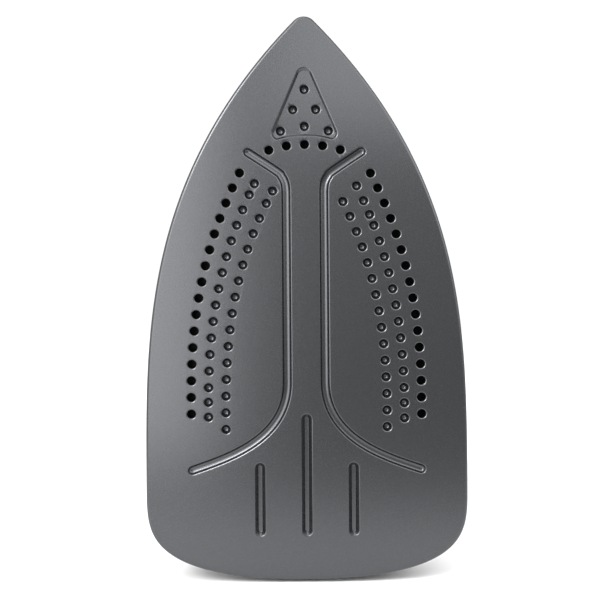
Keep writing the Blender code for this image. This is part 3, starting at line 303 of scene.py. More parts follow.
# %% [markdown]
# ## Finishes: how a material is put together
#
# Each finish starts from a shader with its constant values set on its own sockets. What varies
# over the surface comes from noise on Object coordinates, at a grain worked out from millimetres:
# the spray of a coating, the spark-eroded grain of a mould, or the dust of use.

# %% A finish and a grain


def finish(name, colour, roughness, metallic=0.0, **constants):
    """A new material with a Principled shader; constants name further sockets, _ for a space."""
    material = bpy.data.materials.new(name)
    material.use_nodes = True
    inputs = material.node_tree.nodes["Principled BSDF"].inputs
    inputs["Base Color"].default_value = linear(colour)
    inputs["Roughness"].default_value = roughness
    inputs["Metallic"].default_value = metallic
    for socket, value in constants.items():
        inputs[socket.replace("_", " ")].default_value = value
    return material


def vary(material, grain, colours, roughness, depth, detail=3.0, stretch=(1, 1, 1)):
    """Noise of one grain (metres) mixes two colours, swings the roughness and raises a bump."""
    links = material.node_tree.links
    shader = material.node_tree.nodes["Principled BSDF"]
    where = add(material, "TexCoord").outputs["Object"]
    scaled = add(material, "Mapping", {"Vector": where, "Scale": stretch})
    noise = add(material, "TexNoise", {"Vector": scaled.outputs["Vector"], "Scale": 1 / grain,
                                       "Detail": detail})
    level = add(material, "MapRange", {"Value": noise.outputs["Fac"], "From Min": 0.30, "From Max": 0.70})
    if colours:
        tones = add(material, "Mix", {"Factor": level.outputs["Result"], "A": linear(colours[0]),
                                      "B": linear(colours[1])}, data_type="RGBA")
        links.new(tones.outputs[2], shader.inputs["Base Color"])
    if roughness:
        sheen = add(material, "MapRange", {"Value": level.outputs["Result"], "To Min": roughness[0],
                                           "To Max": roughness[1]})
        links.new(sheen.outputs["Result"], shader.inputs["Roughness"])
    if depth:
        bump = add(material, "Bump", {"Height": level.outputs["Result"], "Distance": depth, "Strength": 1.0})
        links.new(bump.outputs["Normal"], shader.inputs["Normal"])
    return material


# %% [markdown]
# ## Finish of the sole: non-stick coating
#
# The plate is die-cast aluminium, turned flat, blasted and sprayed with a fluoropolymer that is
# baked on. The coat is thin and full of mica, so it looks like dark metal with a soft sheen: its
# reflections are grey and blurred rather than clear. The blasting leaves a grain of about 0.1 mm,
# drawn here at 0.35 mm so that it shows at all.

# %% Non-stick coating
nonstick = finish("non-stick fluoropolymer, sprayed on blasted aluminium", "48494B", 0.26, 0.90)
vary(nonstick, 0.35 * MM, ("464749", "4A4B4D"), (0.24, 0.28), 0.004 * MM)
print("finish of the sole:", nonstick.name)

# %% [markdown]
# ## The soleplate
#
# The outline is a heel like half of a rounded oval, two bowed sides and a small round tip. The
# face has steam holes in three rows down each side, a shallow recess near the tip, two grooves
# that flare out towards the heel, and three slots. Each of them is an outline cut down into the
# flat face, so each is a stack: a narrow bevel at the rim, a wall, and a floor that closes in on
# the outline's own middle. What is left between them is filled by a constrained triangulation.
# The bevel is what draws the thin bright line beside each dark hole: it leans 23 degrees, so
# that on the far side of each hole it faces the key light.

# %% Outline of the sole


def outline_sizes(inset):
    """Half width, low edge, apex and tip radius of the outline drawn in by inset."""
    apex = SOLE_APEX - inset * np.sqrt(2)
    return SOLE_HALF_WIDTH - inset, SOLE_LOW + inset, apex, np.maximum(TIP_RADIUS - inset, 1.2 * MM)


def half_width(z, inset):
    """Half the width at z: below the widest place width * (1 - fall^rise)^(1/round), above it
    width * (1 - climb^power), and in the tip the half chord of a circle."""
    width, low, apex, radius = outline_sizes(inset)
    fall = np.clip((WIDEST_Z - z) / (WIDEST_Z - low), 0, 1)
    climb = np.clip((z - WIDEST_Z) / (apex - WIDEST_Z), 0, 1)
    centre = apex - radius * np.sqrt(2)
    side = width * np.where(z <= WIDEST_Z, (1 - fall**HEEL_RISE) ** (1 / HEEL_ROUND), 1 - climb**SIDE_POWER)
    nose = np.sqrt(np.clip(radius**2 - (z - centre) ** 2, 0, None))
    return np.where(z > centre + radius * np.sqrt(0.5), nose, side)


def tip_height(inset):
    """The top of the outline drawn in by inset."""
    _, _, apex, radius = outline_sizes(inset)
    return apex - radius * (np.sqrt(2) - 1)


def sole_outline(inset, heel=40, side=56, tip=12):
    """The outline as (x, z) points: heel by angle, side by height, tip by angle, then mirrored."""
    width, low, apex, radius = outline_sizes(inset)
    turn = np.linspace(0, np.pi / 2, heel, endpoint=False)
    heel_x = width * np.sin(turn) ** (2 / HEEL_ROUND)
    heel_z = WIDEST_Z - (WIDEST_Z - low) * np.cos(turn) ** (2 / HEEL_RISE)
    centre = apex - radius * np.sqrt(2)
    side_z = np.linspace(WIDEST_Z, centre + radius * np.sqrt(0.5), side, endpoint=False)
    turn = np.linspace(np.pi / 4, np.pi / 2, tip + 1)
    tip_x, tip_z = radius * np.cos(turn), centre + radius * np.sin(turn)
    x = np.concatenate([heel_x, half_width(side_z, inset), tip_x])
    z = np.concatenate([heel_z, side_z, tip_z])
    x[-1] = 0.0
    right = np.stack([x, z], -1)
    return np.concatenate([right, right[-2:0:-1] * (-1, 1)])


print("outline points:", len(sole_outline(0.0)))

# %% Where the steam holes are
HOLE_RADIUS, HOLE_PITCH = 1.77 * MM, 6.5 * MM
ROW_REACH = 90.5 * MM  # the height over which a row drops in towards the axis
HOLE_ROWS = (  # side, edge x, low z, drop, bend, top z, count, {after hole: shorter pitch}, all in mm
    (-1, 45.0, 70.0, 19.5, 2.34, 160.5, 16, {}),
    (-1, 38.3, 66.0, 18.7, 2.40, 156.3, 16, {0: 4.8, 13: 5.7, 14: 5.8}),
    (-1, 31.5, 62.0, 18.4, 2.60, 153.4, 16, {0: 5.5}),
    (1, 45.0, 70.0, 19.5, 2.34, 160.1, 16, {}),
    (1, 38.3, 66.0, 18.7, 2.40, 155.2, 16, {1: 5.9, 2: 4.6, 13: 6.0, 14: 5.9}),
    (1, 31.5, 62.0, 18.4, 2.60, 149.1, 15, {}),
)
ARC_TOP, ARC_RADIUS, ARC_PITCH = 171.5 * MM, 46.5 * MM, 7.1 * MM
RECESS_HOLES = np.array(((0, 193.2), (4.5, 185.3), (-4.5, 185.3), (0, 178.7), (9.4, 176.9),
                         (-9.4, 176.9))) * MM


def row_x(row, z):
    """Distance of a row from the axis: edge - drop * (rise / reach)^bend."""
    _, edge, low, drop, bend = row[:5]
    return edge * MM - drop * MM * max(0.0, (z - low * MM) / ROW_REACH) ** bend


def row_holes(row):
    """The holes of one row, stepped down its curve at the hole pitch."""
    side, _, _, _, _, top, count, shorter = row
    z, holes = top * MM, []
    for k in range(count):
        holes.append((side * row_x(row, z), z))
        run = row_x(row, z - HOLE_PITCH / 2) - row_x(row, z + HOLE_PITCH / 2)
        z -= (shorter[k] * MM if k in shorter else HOLE_PITCH) * np.cos(np.arctan2(run, HOLE_PITCH))
    return holes


arc_turn = np.arange(-2, 3) * ARC_PITCH / ARC_RADIUS
arc_holes = np.stack([ARC_RADIUS * np.sin(arc_turn), ARC_TOP - ARC_RADIUS * (1 - np.cos(arc_turn))], -1)
open_holes = np.concatenate([row_holes(HOLE_ROWS[0]), row_holes(HOLE_ROWS[3]), arc_holes])
blind_holes = np.concatenate([row_holes(HOLE_ROWS[k]) for k in (1, 2, 4, 5)])
print("open holes:", len(open_holes), "dimples:", len(blind_holes) + len(RECESS_HOLES))

# %% Channels: outlines about a centre line
SLOT_WIDTH, CHANNEL_DEPTH = 4.2 * MM, 1.75 * MM
SLOT_X, SLOT_LOW = 18.3 * MM, 18.5 * MM
SLOT_TOPS = (47.2 * MM, 66.2 * MM, 47.2 * MM)  # left, middle and right


def smooth_line(points, steps):
    """A curve through the points (Catmull-Rom), each span in equal steps."""
    p = np.asarray(points, float)
    p = np.concatenate([p[:1], p, p[-1:]])
    t = np.linspace(0, 1, steps, endpoint=False)[:, None]
    weights = np.stack([-t + 2 * t**2 - t**3, 2 - 5 * t**2 + 3 * t**3, t + 4 * t**2 - 3 * t**3,
                        t**3 - t**2]) / 2
    spans = [sum(w * p[k + i] for i, w in enumerate(weights)) for k in range(len(p) - 3)]
    return np.concatenate([*spans, p[-2:-1]])


def groove_line(side):
    """Centre line of a groove: an arm, a bend, a straight and a flare (a cubic Bezier curve)."""
    bend = smooth_line(((22.2, 168.5), (11.0, 161.1), (9.0, 159.0), (7.8, 156.5), (7.4, 153.5)), 8) * MM
    t = np.linspace(0, 1, 40)[:, None]
    a, b, c, d = np.array(((7.4, 78.7), (7.4, 56.0), (31.7, 48.9), (44.7, 44.4))) * MM
    flare = (1 - t) ** 3 * a + 3 * t * (1 - t) ** 2 * b + 3 * t**2 * (1 - t) * c + t**3 * d
    return np.concatenate([bend, flare]) * (side, 1)


def channel(line, half, cap=10):
    """The outline at a distance of half from a centre line, with round ends."""
    along = np.gradient(line, axis=0)
    along /= np.linalg.norm(along, axis=1)[:, None]
    across = np.stack([-along[:, 1], along[:, 0]], -1)
    turn = np.linspace(0, np.pi, cap + 1)[1:-1, None]
    far = line[-1] + half * (across[-1] * np.cos(turn) + along[-1] * np.sin(turn))
    near = line[0] - half * (across[0] * np.cos(turn) + along[0] * np.sin(turn))
    return np.concatenate([line + half * across, far, (line - half * across)[::-1], near])


def ring(centre, radius, steps=28):
    """A circle of (x, z) points."""
    turn = np.linspace(0, 2 * np.pi, steps, endpoint=False)
    return np.asarray(centre) + radius * np.stack([np.cos(turn), np.sin(turn)], -1)


grooves = [groove_line(side) for side in (-1, 1)]
slots = [np.array(((x, top - SLOT_WIDTH / 2), (x, SLOT_LOW + SLOT_WIDTH / 2)))
         for x, top in zip((-SLOT_X, 0.0, SLOT_X), SLOT_TOPS)]
print("grooves:", len(grooves), "slots:", len(slots))

# %% Recess near the tip
RECESS_DEPTH = 1.0 * MM


def arc_points(cx, cz, radius, start, end, steps):
    """Points on a circle from one angle to another, in degrees."""
    turn = np.radians(np.linspace(start, end, steps + 1))
    return np.stack([cx + radius * np.cos(turn), cz + radius * np.sin(turn)], -1)


def recess_outline(inset):
    """A triangle with rounded corners and a hollow lower side, drawn in by inset."""
    lower = smooth_line(((0, 174.6), (5.5, 174.2), (10.6, 173.05)), 6)[:-1] * MM
    corner = arc_points(10.3 * MM, 175.9 * MM, 2.9 * MM, -80, 19, 14)
    top = arc_points(0.0, 198.3 * MM, 3.5 * MM, 19, 90, 10)
    side = corner[-1] + (top[0] - corner[-1]) * np.linspace(0, 1, 14)[1:-1, None]
    right = np.concatenate([lower, corner, side, top])
    loop = np.concatenate([right, right[-2:0:-1] * (-1, 1)])
    along = np.roll(loop, -1, axis=0) - np.roll(loop, 1, axis=0)
    along /= np.linalg.norm(along, axis=1)[:, None]
    return loop + inset * np.stack([-along[:, 1], along[:, 0]], -1)


print("recess outline points:", len(recess_outline(0.0)))

# %% [markdown]
# ### Profiles of what is cut into the face
#
# Every cut starts with the same rim: a bevel and a tight turn, left by the tool that breaks the
# edges before the plate is coated. Below it a slot and the recess have a slanted wall and a flat
# floor, a groove and a dimple are round hollows, and a hole goes straight through.

# %% Profiles of what is cut into the face
BEVEL, BEVEL_SLOPE, TURN_RADIUS = 0.30 * MM, np.radians(23), 0.16 * MM
RIM = BEVEL + TURN_RADIUS * (1 - np.sin(BEVEL_SLOPE))  # width of the bevel and the turn into a wall
DIMPLE_DEPTH = 2.6 * MM
GROOVE_HALF, SLOT_HALF = 2.1 * MM, 2.4 * MM  # half widths over the rims
SLOT_STEEP, RECESS_STEEP = np.radians(50), np.radians(48)
FLOOR_BEND, RECESS_BEND = 0.30 * MM, 0.20 * MM  # radius between a wall and its floor
BACK_CHAMFER = 0.5 * MM


def rim(steepest=np.pi / 2, start=0.0, steps=5):
    """A narrow bevel that catches the light, then a tight turn into the wall, as (inset, depth)."""
    points = [(d, start + d * np.tan(BEVEL_SLOPE)) for d in (0.0, 0.05 * MM, BEVEL)]
    turn = np.linspace(BEVEL_SLOPE, steepest, steps)[1:]
    across, down = points[-1]
    return points + [(across + TURN_RADIUS * (np.sin(t) - np.sin(BEVEL_SLOPE)),
                      down + TURN_RADIUS * (np.cos(BEVEL_SLOPE) - np.cos(t))) for t in turn]


def trench(depth, steepest, bend=FLOOR_BEND, steps=4):
    """Rim, a straight wall at an angle, and a turn into a flat floor at depth."""
    points = rim(steepest)
    across, down = points[-1]
    wall = (depth - down - bend * (1 - np.cos(steepest))) / np.sin(steepest)
    across, down = across + wall * np.cos(steepest), down + wall * np.sin(steepest)
    turn = np.linspace(steepest, 0, steps)
    return points + [(across + bend * (np.sin(steepest) - np.sin(t)),
                      down + bend * (np.cos(t) - np.cos(steepest))) for t in turn]


def bowl(half, depth, power, start=0.0, steps=14):
    """Rim and a hollow: (depth) * (1 - share^power)^(1/power), where share is the distance from
    the middle as a part of half."""
    points = rim(start=start)
    across, down = points[-1]
    turn = np.linspace(0, np.pi / 2, steps)[1:]
    share, fall = np.cos(turn) ** (2 / power), np.sin(turn) ** (2 / power)
    drop = start + depth - down
    return points + [(across + half * (1 - a), down + drop * b) for a, b in zip(share, fall)]


def groove_blocks(line):
    """Rim and round bottom of a groove; it closes on the centre line."""
    section = bowl(GROOVE_HALF - RIM, CHANNEL_DEPTH, 2.1)
    return stack(lambda inset: channel(line, max(GROOVE_HALF - inset, 0.0)), section)


def slot_blocks(line):
    """Rim, slanted wall and flat bottom of a slot; it closes on the centre line."""
    section = [*trench(CHANNEL_DEPTH, SLOT_STEEP), (SLOT_HALF, CHANNEL_DEPTH)]
    return stack(lambda inset: channel(line, max(SLOT_HALF - inset, 0.0)), section)


def dimple_blocks(centre, level):
    """Rim and round bottom of a blind hole that starts at a level."""
    profile = bowl(HOLE_RADIUS, DIMPLE_DEPTH, 2.2, level, 10)
    return stack(lambda inset: ring(centre, max(HOLE_RADIUS + RIM - inset, 0.0)), profile)


def open_hole_blocks(centre):
    """Rim and wall of a hole through the plate."""
    profile = [*rim(), (rim()[-1][0], SOLE_THICK)]
    return stack(lambda inset: ring(centre, HOLE_RADIUS + RIM - inset), profile)


def inside(points, loops):
    """Whether each point is inside an odd number of loops, by the edges that a ray to +x meets."""
    count = np.zeros(len(points), int)
    for loop in loops:
        a, b = loop[:, None], np.roll(loop, -1, axis=0)[:, None]
        spans = (a[..., 1] > points[:, 1]) != (b[..., 1] > points[:, 1])
        rise = np.where(a[..., 1] == b[..., 1], 1.0, b[..., 1] - a[..., 1])
        reach = a[..., 0] + (points[:, 1] - a[..., 1]) * (b[..., 0] - a[..., 0]) / rise
        count += (spans & (points[:, 0] < reach)).sum(axis=0)
    return count % 2 == 1


def filled(loops, height):
    """The flat between an outer loop (the first) and the loops inside it."""
    edges, start = [], 0
    for loop in loops:
        edges += [(start + k, start + (k + 1) % len(loop)) for k in range(len(loop))]
        start += len(loop)
    corners = [Vector(p) for p in np.concatenate(loops).tolist()]
    flat, _, faces, *_ = delaunay_2d_cdt(corners, edges, [], 1, 1e-7)
    flat, faces = np.array([tuple(p) for p in flat]), np.array(faces)
    faces = faces[inside(flat[faces].mean(axis=1), loops)]
    return place(flat[:, 0], height, flat[:, 1]), faces


print("rim:", round(RIM / MM, 2), "mm wide")

# %% Build the plate
face_loops = [sole_outline(EDGE_RADIUS), recess_outline(0.0)]
face_loops += [ring(c, HOLE_RADIUS + RIM) for c in (*open_holes, *blind_holes)]
face_loops += [channel(line, GROOVE_HALF) for line in grooves]
face_loops += [channel(line, SLOT_HALF) for line in slots]
recess_profile = trench(RECESS_DEPTH, RECESS_STEEP, RECESS_BEND)
recess_inset = recess_profile[-1][0]
recess_floor = [recess_outline(recess_inset)] + [ring(c, HOLE_RADIUS + RIM) for c in RECESS_HOLES]
back_loops = [sole_outline(BACK_CHAMFER)] + [ring(c, HOLE_RADIUS + RIM - rim()[-1][0]) for c in open_holes]
edge_turn = np.linspace(0, np.pi / 2, 7)
edge_profile = [(EDGE_RADIUS * (1 - np.sin(t)), EDGE_RADIUS * (1 - np.cos(t))) for t in edge_turn]
edge_profile += [(0.0, SOLE_THICK - BACK_CHAMFER), (BACK_CHAMFER, SOLE_THICK)]
plate_blocks = [filled(face_loops, 0.0), filled(recess_floor, RECESS_DEPTH), filled(back_loops, SOLE_THICK)]
plate_blocks.append(stack(sole_outline, edge_profile))
plate_blocks.append(stack(recess_outline, recess_profile))
plate_blocks += [groove_blocks(line) for line in grooves] + [slot_blocks(line) for line in slots]
plate_blocks += [dimple_blocks(c, 0.0) for c in blind_holes]
plate_blocks += [dimple_blocks(c, RECESS_DEPTH) for c in RECESS_HOLES]
plate_blocks += [open_hole_blocks(c) for c in open_holes]
coated_plate = piece("coated_plate", plate_blocks, nonstick, "iron", ["soleplate"],
                     crease=50)
even_shading(coated_plate)

# %% [markdown]
# ## Finishes of the mouldings
#
# Housing, handle and heel are PBT, a plastic that stands the heat, moulded in a tool whose walls
# are spark-eroded: it has a fine dry grain. The controls are ABS from a smoother tool. The grip is
# a soft rubber (TPE) moulded over, and the skirt beside the hot plate is a phenolic that is nearly
# black. Real grain is 0.05 to 0.1 mm, drawn at 0.3 mm or more so that it shows.

# %% Plastics and rubbers
pbt = finish("charcoal PBT, moulded with spark-eroded grain", "323336", 0.42)
vary(pbt, 0.35 * MM, ("2F3033", "36373A"), (0.36, 0.50), 0.02 * MM)
abs_grey = finish("light grey ABS, moulded satin", "8C8E90", 0.34)
vary(abs_grey, 0.5 * MM, ("888A8C", "909294"), (0.30, 0.40), 0.006 * MM)
phenolic = finish("black phenolic, compression moulded", "1C1C1D", 0.48)
vary(phenolic, 0.6 * MM, ("191919", "202021"), (0.42, 0.56), 0.012 * MM)
soft_touch = finish("soft-touch TPE, overmoulded", "29292B", 0.78, Sheen_Weight=0.25, Sheen_Roughness=0.5)
vary(soft_touch, 0.45 * MM, ("272729", "2D2D2F"), (0.72, 0.84), 0.03 * MM)
silicone = finish("red silicone rubber, moulded matt", "A5452F", 0.6)
vary(silicone, 0.6 * MM, ("9E402B", "AC4B34"), (0.55, 0.7), 0.01 * MM)
smoke = finish("smoke-tinted polycarbonate, polished", "9FABB3", 0.04, Transmission_Weight=1.0, IOR=1.58)
vary(smoke, 9 * MM, None, (0.03, 0.07), 0)
amber = finish("amber polycarbonate, polished", "E8892B", 0.08, Transmission_Weight=0.85, IOR=1.58)
vary(amber, 1.2 * MM, None, (0.06, 0.12), 0)
INK_WHITE = "D9D9D6"
white_ink = finish("white pad-printing ink", INK_WHITE, 0.5)
vary(white_ink, 0.3 * MM, ("D3D3D0", "DEDEDB"), (0.45, 0.55), 0.004 * MM)
dark_ink = finish("black pad-printing ink", "202123", 0.5)
vary(dark_ink, 0.3 * MM, ("1E1F21", "252628"), (0.45, 0.55), 0.004 * MM)
print("finishes so far:", len(bpy.data.materials))

# %% [markdown]
# ## Finishes of the metals and insulators
#
# Inside are a die-cast block, darkened by steam and coloured near black beyond that as painted shade
# for the deep steam holes, a steel element, plated steel covers and screws, turned brass, fired
# ceramic and woven glass-fibre sleeves. Turned parts show rings, drawn as a grain that is stretched
# along the piece.

# %% Metals and insulators
# Painted shade: the casting's colour is near black, beyond its real darkening by steam, so that the steam
# holes stay dark.
casting = finish("aluminium, die-cast and darkened by steam", "1E1D1C", 0.7, 0.5)
vary(casting, 1.5 * MM, ("181716", "252423"), (0.6, 0.8), 0.05 * MM)
plated = finish("steel, zinc-plated", "B4B6B8", 0.30, 1.0)
vary(plated, 0.8 * MM, ("A9ABAD", "BEC0C2"), (0.24, 0.40), 0.004 * MM)
brass = finish("brass, turned", "C9A557", 0.26, 1.0)
vary(brass, 0.5 * MM, ("BE9A4E", "D2AF62"), (0.20, 0.34), 0.006 * MM, stretch=(1, 6, 1))
ceramic = finish("steatite ceramic, fired unglazed", "DEDBD2", 0.6)
vary(ceramic, 0.4 * MM, ("D6D2C8", "E4E1D9"), (0.5, 0.7), 0.01 * MM)


def sleeve(name, dark, light):
    """A woven glass-fibre sleeve: two waves crossing at the pitch of its yarn."""
    material = finish(name, dark, 0.7)
    where = add(material, "TexCoord").outputs["Object"]
    yarn = 0.8 * MM
    waves = [add(material, "TexWave", {"Vector": where, "Scale": 1 / yarn / 4, "Distortion": 0.5},
                 bands_direction=way).outputs["Fac"] for way in ("DIAGONAL", "X")]
    weave = add(material, "Math", {0: waves[0], 1: waves[1]}, operation="MULTIPLY")
    tones = add(material, "Mix", {"Factor": weave.outputs[0], "A": linear(dark), "B": linear(light)},
                data_type="RGBA")
    bump = add(material, "Bump", {"Height": weave.outputs[0], "Distance": 0.1 * MM})
    shader = material.node_tree.nodes["Principled BSDF"]
    material.node_tree.links.new(tones.outputs[2], shader.inputs["Base Color"])
    material.node_tree.links.new(bump.outputs["Normal"], shader.inputs["Normal"])
    return material


sleeves = {"live": sleeve("glass-fibre sleeve, brown", "5A3A25", "7A553A"),
           "neutral": sleeve("glass-fibre sleeve, blue", "2A4C82", "4A6EA6"),
           "earth": sleeve("glass-fibre sleeve, green", "6E8A34", "C9BE4A")}
print("finishes in all:", len(bpy.data.materials))

# %% [markdown]
# ## Nodes that keep their shape
#
# The works inside are already the right shape, so they keep their own solids and only take a
# finish. Most of them are seen only through the tank, the open door or the steam holes.

# %% Dress the kept nodes
KEPT = {
    casting: ("heater_casting",),
    plated: ("heating_element", "chamber_cover", "thermal_fuse", "door_pin", "dial_shaft"),
    brass: ("valve_seat", "valve_needle"),
    abs_grey: ("spray_plunger", "steam_plunger", "spray_pump", "steam_pump", "tank_base"),
    silicone: ("chamber_seal", "needle_grommet"),
    amber: ("indicator_lamp",),
    ceramic: ("thermostat_body", "terminal_block"),
    **{sleeves[wire]: (f"{wire}_lead",) for wire in sleeves},
}
for material, names in KEPT.items():
    for name in names:
        kept_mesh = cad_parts[name].data
        kept_mesh.materials.clear()
        kept_mesh.materials.append(material)
print("kept nodes:", sum(map(len, KEPT.values())))

# %% [markdown]
# ## More ways to make a block
#
# A few more helpers make the rest. A slab is a patch of a surface with a second patch under it and
# a rim between them. A prism is an outline carried from one height to another. A turned block is a
# profile of radius and height spun about an axis. And a Boolean cuts bores and pockets where two
# shapes that differ in kind have to meet.

# %% Slabs, turned blocks and cuts


def slab(outer, inner):
    """Two patches of rows x columns x 3 and the rim that joins their borders."""
    border = [patch_border(side) for side in (outer, inner)]
    return [grid(outer), grid(inner[:, ::-1]), grid(np.array(border), wrap_columns=True)]


def patch_border(patch):
    """The points round the edge of a patch, once round."""
    return np.concatenate([patch[0], patch[1:, -1], patch[-1, -2::-1], patch[-2:0:-1, 0]])


def on_axis(origin, axis):
    """A spread for stack(): x stays across, height runs along the axis from the origin."""
    along = np.array(Vector(axis).normalized())
    beside = np.cross((1.0, 0.0, 0.0), along)

    def spread(x, height, z):
        x, height, z = (value[..., None] for value in np.broadcast_arrays(x, height, z))
        return np.array(origin) + x * (1.0, 0.0, 0.0) + height * along + z * beside
    return spread


def over(z_middle, x_middle=0.0):
    """A spread for stack(): the outline lies over the face, moved to a middle in z and x."""
    def spread(x, height, z):
        return place(x + x_middle, height, z + z_middle)
    return spread


def prism(outline, inset, low, high, spread):
    """An outline carried between two heights; an inset of half its width closes both ends."""
    return stack(outline, [(inset, low), (0, low), (0, high), (inset, high)], spread)


def softened(profile, radius, steps=4, closed=False):
    """Each corner of a profile becomes a short curve that starts and ends radius away from it."""
    p = np.asarray(profile, float)
    t = np.linspace(0, 1, steps)[:, None]
    done = [] if closed else [p[:1]]
    for k in range(0 if closed else 1, len(p) if closed else len(p) - 1):
        before, here, after = p[k - 1], p[k], p[(k + 1) % len(p)]
        back, ahead = before - here, after - here
        a = here + back * min(0.45, radius / np.linalg.norm(back))
        b = here + ahead * min(0.45, radius / np.linalg.norm(ahead))
        done.append((1 - t) ** 2 * a + 2 * t * (1 - t) * here + t**2 * b)
    return np.concatenate(done if closed else [*done, p[-1:]])


def turned(profile, spread, steps=64, closed=False):
    """A profile of (radius, height) spun about an axis."""
    return stack(lambda radius: ring((0.0, 0.0), radius, steps), profile, spread, wrap=closed)


def rod(radius, low, high, spread, steps=48):
    """A closed round rod about an axis, between two heights along it."""
    return turned([(0, low), (radius, low), (radius, high), (0, high)], spread, steps)


def rounded_box(half_x, half_z, radius, steps=8):
    """An outline function: a rectangle with round corners, drawn in by an inset."""
    def outline(inset):
        a, b = max(half_x - inset, 0.0), max(half_z - inset, 0.0)
        r = min(max(radius - inset, 0.0), a, b)
        turn = np.linspace(0, np.pi / 2, steps)
        corner = np.stack([a - r + r * np.cos(turn), b - r + r * np.sin(turn)], -1)
        flip = corner[::-1]
        return np.concatenate([corner, flip * (-1, 1), corner * (-1, -1), flip * (1, -1)])
    return outline


def carve(made, blocks, operation="DIFFERENCE", crease=35.0):
    """Cuts closed blocks out of a piece, or joins them on, and leaves a plain mesh."""
    tool_mesh = joined("tool", blocks)
    tool = bpy.data.objects.new("tool", tool_mesh)
    bpy.context.scene.collection.objects.link(tool)
    step = made.modifiers.new("cut", "BOOLEAN")
    step.operation, step.object = operation, tool
    result = bpy.data.meshes.new_from_object(made.evaluated_get(bpy.context.evaluated_depsgraph_get()))
    made.modifiers.clear()
    old, made.data = made.data, result
    bpy.data.meshes.remove(old)
    bpy.data.objects.remove(tool)
    bpy.data.meshes.remove(tool_mesh)
    made.data.set_sharp_from_angle(angle=np.radians(crease))
    return made


def drill(start, end, radius):
    """A closed round rod between two points (x, h, z)."""
    start, end = (place(*np.array(p, float)) for p in (start, end))
    return rod(radius, 0, np.linalg.norm(end - start), on_axis(start, end - start))


# %% [markdown]
# ## Skirt
#
# A band of phenolic closes the space between the hot plate and the housing and keeps fingers off
# the casting. It follows the sole's outline, set in by a few millimetres, and draws in towards its
# top, so it is the outline carried round a closed section.

# %% Skirt
SKIRT_WALL, SKIRT_SOFT = 2.0, 0.6  # in mm, as the section
skirt_outside = np.array(((2.8, 6.3), (2.8, 14.0), (5.0, 20.0)))  # inset and height
skirt_section = softened([*skirt_outside, *(skirt_outside[::-1] + (SKIRT_WALL, 0))], SKIRT_SOFT, closed=True)
skirt = piece("skirt", [stack(sole_outline, skirt_section * MM, wrap=True)], phenolic, "iron",
              ["heat_shield"])
even_shading(skirt)

# %% [markdown]
# ## Hull: rear housing and water tank
#
# The hull is one arch carried from heel to tip: at each z it spans the sole's width a few
# millimetres in, and rises to a ridge that is level over the heater and falls towards the tip. A
# slanted parting line splits it. Behind it is opaque PBT, in front of it the clear tank. Both are
# slabs: the outer skin, the same skin a wall further in, and the rim between them.

# %% Shape of the hull
HULL_LOW, HULL_INSET, HULL_RISE, HULL_ROUND = 20.3 * MM, 5.0 * MM, 46.5 * MM, 2.5
HULL_WALL, HULL_REAR, HULL_CREST_Z = 2.2 * MM, 11.8 * MM, 70 * MM
PARTING_Z, PARTING_SLOPE = 104 * MM, 0.52
EDGE_SOFT = 0.7 * MM  # how far a moulding's edge rounds over


def signed_power(value, power):
    """A power that keeps the sign."""
    return np.sign(value) * np.abs(value) ** power


def hull_top(z):
    """Height of the ridge: HULL_LOW + rise * (1 - fall). Ahead of the crest the fall is a power of
    the way to the tip; behind it, a tenth of the square of the way to the heel."""
    behind = 0.1 * ((HULL_CREST_Z - z) / HULL_CREST_Z) ** 2
    reach = tip_height(HULL_INSET) - HULL_CREST_Z
    ahead = np.clip((z - HULL_CREST_Z) / reach, 0, 1) ** 2.2
    return HULL_LOW + HULL_RISE * (1 - np.where(z < HULL_CREST_Z, behind, ahead))


def hull_skin(z, turn, grow):
    """x and h of the hull's arch: side * cos^(2/round), rise * sin^(2/round)."""
    side = half_width(z, HULL_INSET - grow)
    rise = np.clip(hull_top(z) + grow - HULL_LOW, 0, None)
    x = side * signed_power(np.cos(turn), 2 / HULL_ROUND)
    return x, HULL_LOW + rise * np.clip(np.sin(turn), 0, None) ** (2 / HULL_ROUND)


def parting(turn, grow):
    """z at which the slanted parting plane meets the arch."""
    z = np.full(np.shape(turn), PARTING_Z)
    for _ in range(12):
        z = PARTING_Z + PARTING_SLOPE * (hull_skin(z, turn, grow)[1] - HULL_LOW)
    return z


def rounded_edge(distance, soft):
    """How far a surface dips at a distance from its edge: a quarter circle of radius soft."""
    near = np.clip(1 - distance / soft, 0, 1)
    return soft * (1 - np.sqrt(1 - near**2))


def hull_half(front, grow, soft=0.0, rows=60, arch=96):
    """The rear or front half of the hull's skin, as rows from end to end. The rows crowd at the
    parting line, where the edge rounds over by soft."""
    turn = np.linspace(0, np.pi, arch + 1)[None, :]
    joint = parting(turn, grow)
    crowd = np.array((0, 0.08, 0.3, 0.6, 1.0))[:, None] * EDGE_SOFT
    share = np.linspace(0, 1, rows)[1:, None]
    if front:
        low = joint + GAP / 2
        rest = low + crowd[-1] + (tip_height(HULL_INSET - grow) - low - crowd[-1]) * np.sin(np.pi / 2 * share)
        z = np.concatenate([low + crowd, rest])
        dip = rounded_edge(z - low, soft) if soft else 0.0
    else:
        high = joint - GAP / 2
        span = high - HULL_REAR - 2 * crowd[-1]
        rest = HULL_REAR + crowd[-1] + span * share[:-1]
        z = np.concatenate([HULL_REAR + crowd + 0 * joint, rest, (high - crowd)[::-1]])
        dip = rounded_edge(np.minimum(high - z, z - HULL_REAR), soft) if soft else 0.0
    x, h = hull_skin(z, turn, grow - dip)
    return place(x, h, z)


print("ridge over the heater:", round(float(hull_top(HULL_CREST_Z)) / MM, 1), "mm above the face")

# %% [markdown]
# ## Rear housing
#
# One moulding covers the heater, with a bore for the dial's seat and one for the lamp. Both are
# drilled through the finished slab, because a round hole doesn't follow the lines of a grid.

